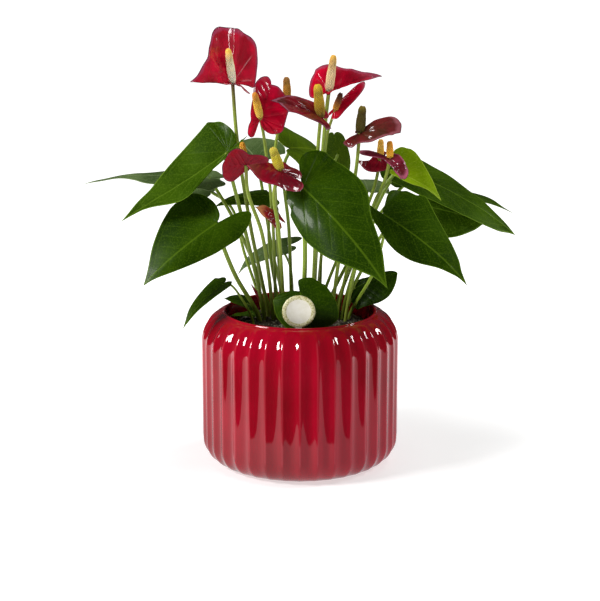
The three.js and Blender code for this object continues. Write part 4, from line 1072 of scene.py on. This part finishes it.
def addShoot():
    foot = Vector((*shoot["soil"], soilTop))
    rows = [(max(0.0, r) * shoot["radius"], h) for r, h, _ in smoothLine([(*p, 0) for p in shootLine], 5)]
    rows[0], rows[-1] = (0, rows[0][1]), (0, rows[-1][1])
    points, faces = lathe(rows, shoot["segments"])
    for p in points:  # the rolled edge winds round the bud
        turn = math.atan2(p[1], p[0]) - p[2] * shoot["winding"]
        p[:2] *= 1 - 0.1 * max(0, math.cos(turn)) ** 8
    mesh = meshFrom("shoot", points, faces)
    standUp(mesh, foot, (Vector(shoot["tip"]) - foot).normalized())
    material, tree, shader = newMaterial("redBud", Roughness=0.35, Coat_Weight=0.4)
    height = split(tree, ownPlace(tree))[2]
    body = colourRamp(fade(height, 0.118, 0.147), [
        (0.0, (96, 84, 40)), (0.25, (132, 44, 40)), (0.7, (150, 24, 40)), (1.0, (186, 120, 110))])
    finishMaterial(shader, body, spots(tree, 900, 3.0, (1, 1, 0.2)), 0.0004, 0.5)
    mesh.materials.append(material)
    addPiece("furled_bud", mesh, "shoot", "red_shoot")


addShoot()
print("tag and bud")

# Floor, lights and camera, in metres

stage = dict(floor=(-40, 40, -40, 40, 0), table=(-1.2, 1.2, -0.18, 0.9, -0.0004), world=0.05)


def addFloor(name, material):
    left, right, front, back, height = stage[name]
    corners = [(left, front, height), (right, front, height), (right, back, height), (left, back, height)]
    piece = addObject(name, meshFrom(name, corners, [(0, 1, 2, 3)], [material]))
    return piece


def paleFloor():
    material, tree, shader = newMaterial("paleFloor", Roughness=0.6, Emission_Color=(1, 1, 1, 1))
    body = mixColour(spots(tree, 3), (200, 200, 200), (206, 206, 206))
    fromPot = addNode(tree, "ShaderNodeVectorMath", {0: ownPlace(tree)}, operation="LENGTH").outputs["Value"]
    # Painted light: the floor glows, less near the pot and fully white further away.
    feed(shader.inputs["Emission Strength"], fade(Value(fromPot), 0.12, 0.4) * 0.5 + 0.6)
    finishMaterial(shader, body)
    return material


def tableSheen():
    material, tree, shader = newMaterial("tableSheen", Roughness=0.8, Base_Color=(0, 0, 0, 1))
    x, y, _ = split(tree, ownPlace(tree))
    # A glowing plane seen only in reflections, a painted reflection: paler at the left front, darker at the
    # right front, brightest at the back.
    front = mixColour(fade(x, -0.1, 0.08), (226, 222, 222), (186, 180, 184))
    feed(shader.inputs["Emission Color"], mixColour(fade(y, -0.06, 0.12), front, (255, 232, 234)))
    feed(shader.inputs["Emission Strength"], fade(y, 0.0, 0.3) * 0.6 + 1.0)
    return material


addFloor("floor", paleFloor()).visible_glossy = False
# Only the glaze sees this one: its front edge shows there, and it is dark past it.
table = addFloor("table", tableSheen())
table.visible_camera = table.visible_diffuse = table.visible_shadow = False

world = bpy.data.worlds.new("studio")
world.use_nodes = True
background = world.node_tree.nodes["Background"]
background.inputs[0].default_value = (1, 1, 1, 1)
background.inputs[1].default_value = stage["world"]
scene.world = world
scene.view_settings.view_transform = "Standard"

# The lamps marked glint show in the spathes alone, and only as reflections. The dull ones show in nothing.
lampBase = dict(target=(0, 0, 0.15), glint=False, dull=False)
lamps = {
    "key": dict(place=(-1.12, -0.55, 0.98), size=(0.42, 0.42), power=19),
    "fill": dict(place=(1.12, 0.0, 1.0), size=(0.3, 0.3), power=6),
    "rear": dict(place=(0.62, 0.5, 1.3), size=(0.26, 0.26), power=4, dull=True),
    "window": dict(place=(1.15, -0.45, 0.33), target=(-0.07, 0, 0.33), size=(0.08, 0.3), power=1.9, glint=True),
    "skylight": dict(place=(0.62, 0.5, 1.3), size=(0.26, 0.26), power=2.2, glint=True),
    "above": dict(place=(-0.2, -0.1, 1.7), size=(0.45, 0.45), power=6, dull=True),
    "rearPanel": dict(place=(0, 1.5, 0.75), target=(0, 0, 0.35), size=(2.4, 1.3), power=1.2, dull=True),
}
petals = bpy.data.collections.new("petals")
for name in flowers:
    petals.objects.link(bpy.data.objects[name + "_bract"])


def aim(piece, place, target):
    piece.location = place
    piece.rotation_euler = (Vector(target) - Vector(place)).to_track_quat("-Z", "Y").to_euler()


for name, lamp in lamps.items():
    lamp = {**lampBase, **lamp}
    light = bpy.data.lights.new(name, "AREA")
    light.shape, light.energy = "RECTANGLE", lamp["power"]
    light.size, light.size_y = lamp["size"]
    holder = addObject(name, light)
    holder.visible_glossy, holder.visible_diffuse = not lamp["dull"], not lamp["glint"]
    if lamp["glint"]:
        holder.light_linking.receiver_collection = petals
    aim(holder, lamp["place"], lamp["target"])

view = dict(place=(0, -1.3, 0.455), target=(0, 0, 0.132), sensor=36, lens=99.13)
camera = addObject("camera", bpy.data.cameras.new("camera"))
aim(camera, view["place"], view["target"])
camera.data.sensor_width, camera.data.lens = view["sensor"], view["lens"]
scene.camera = camera
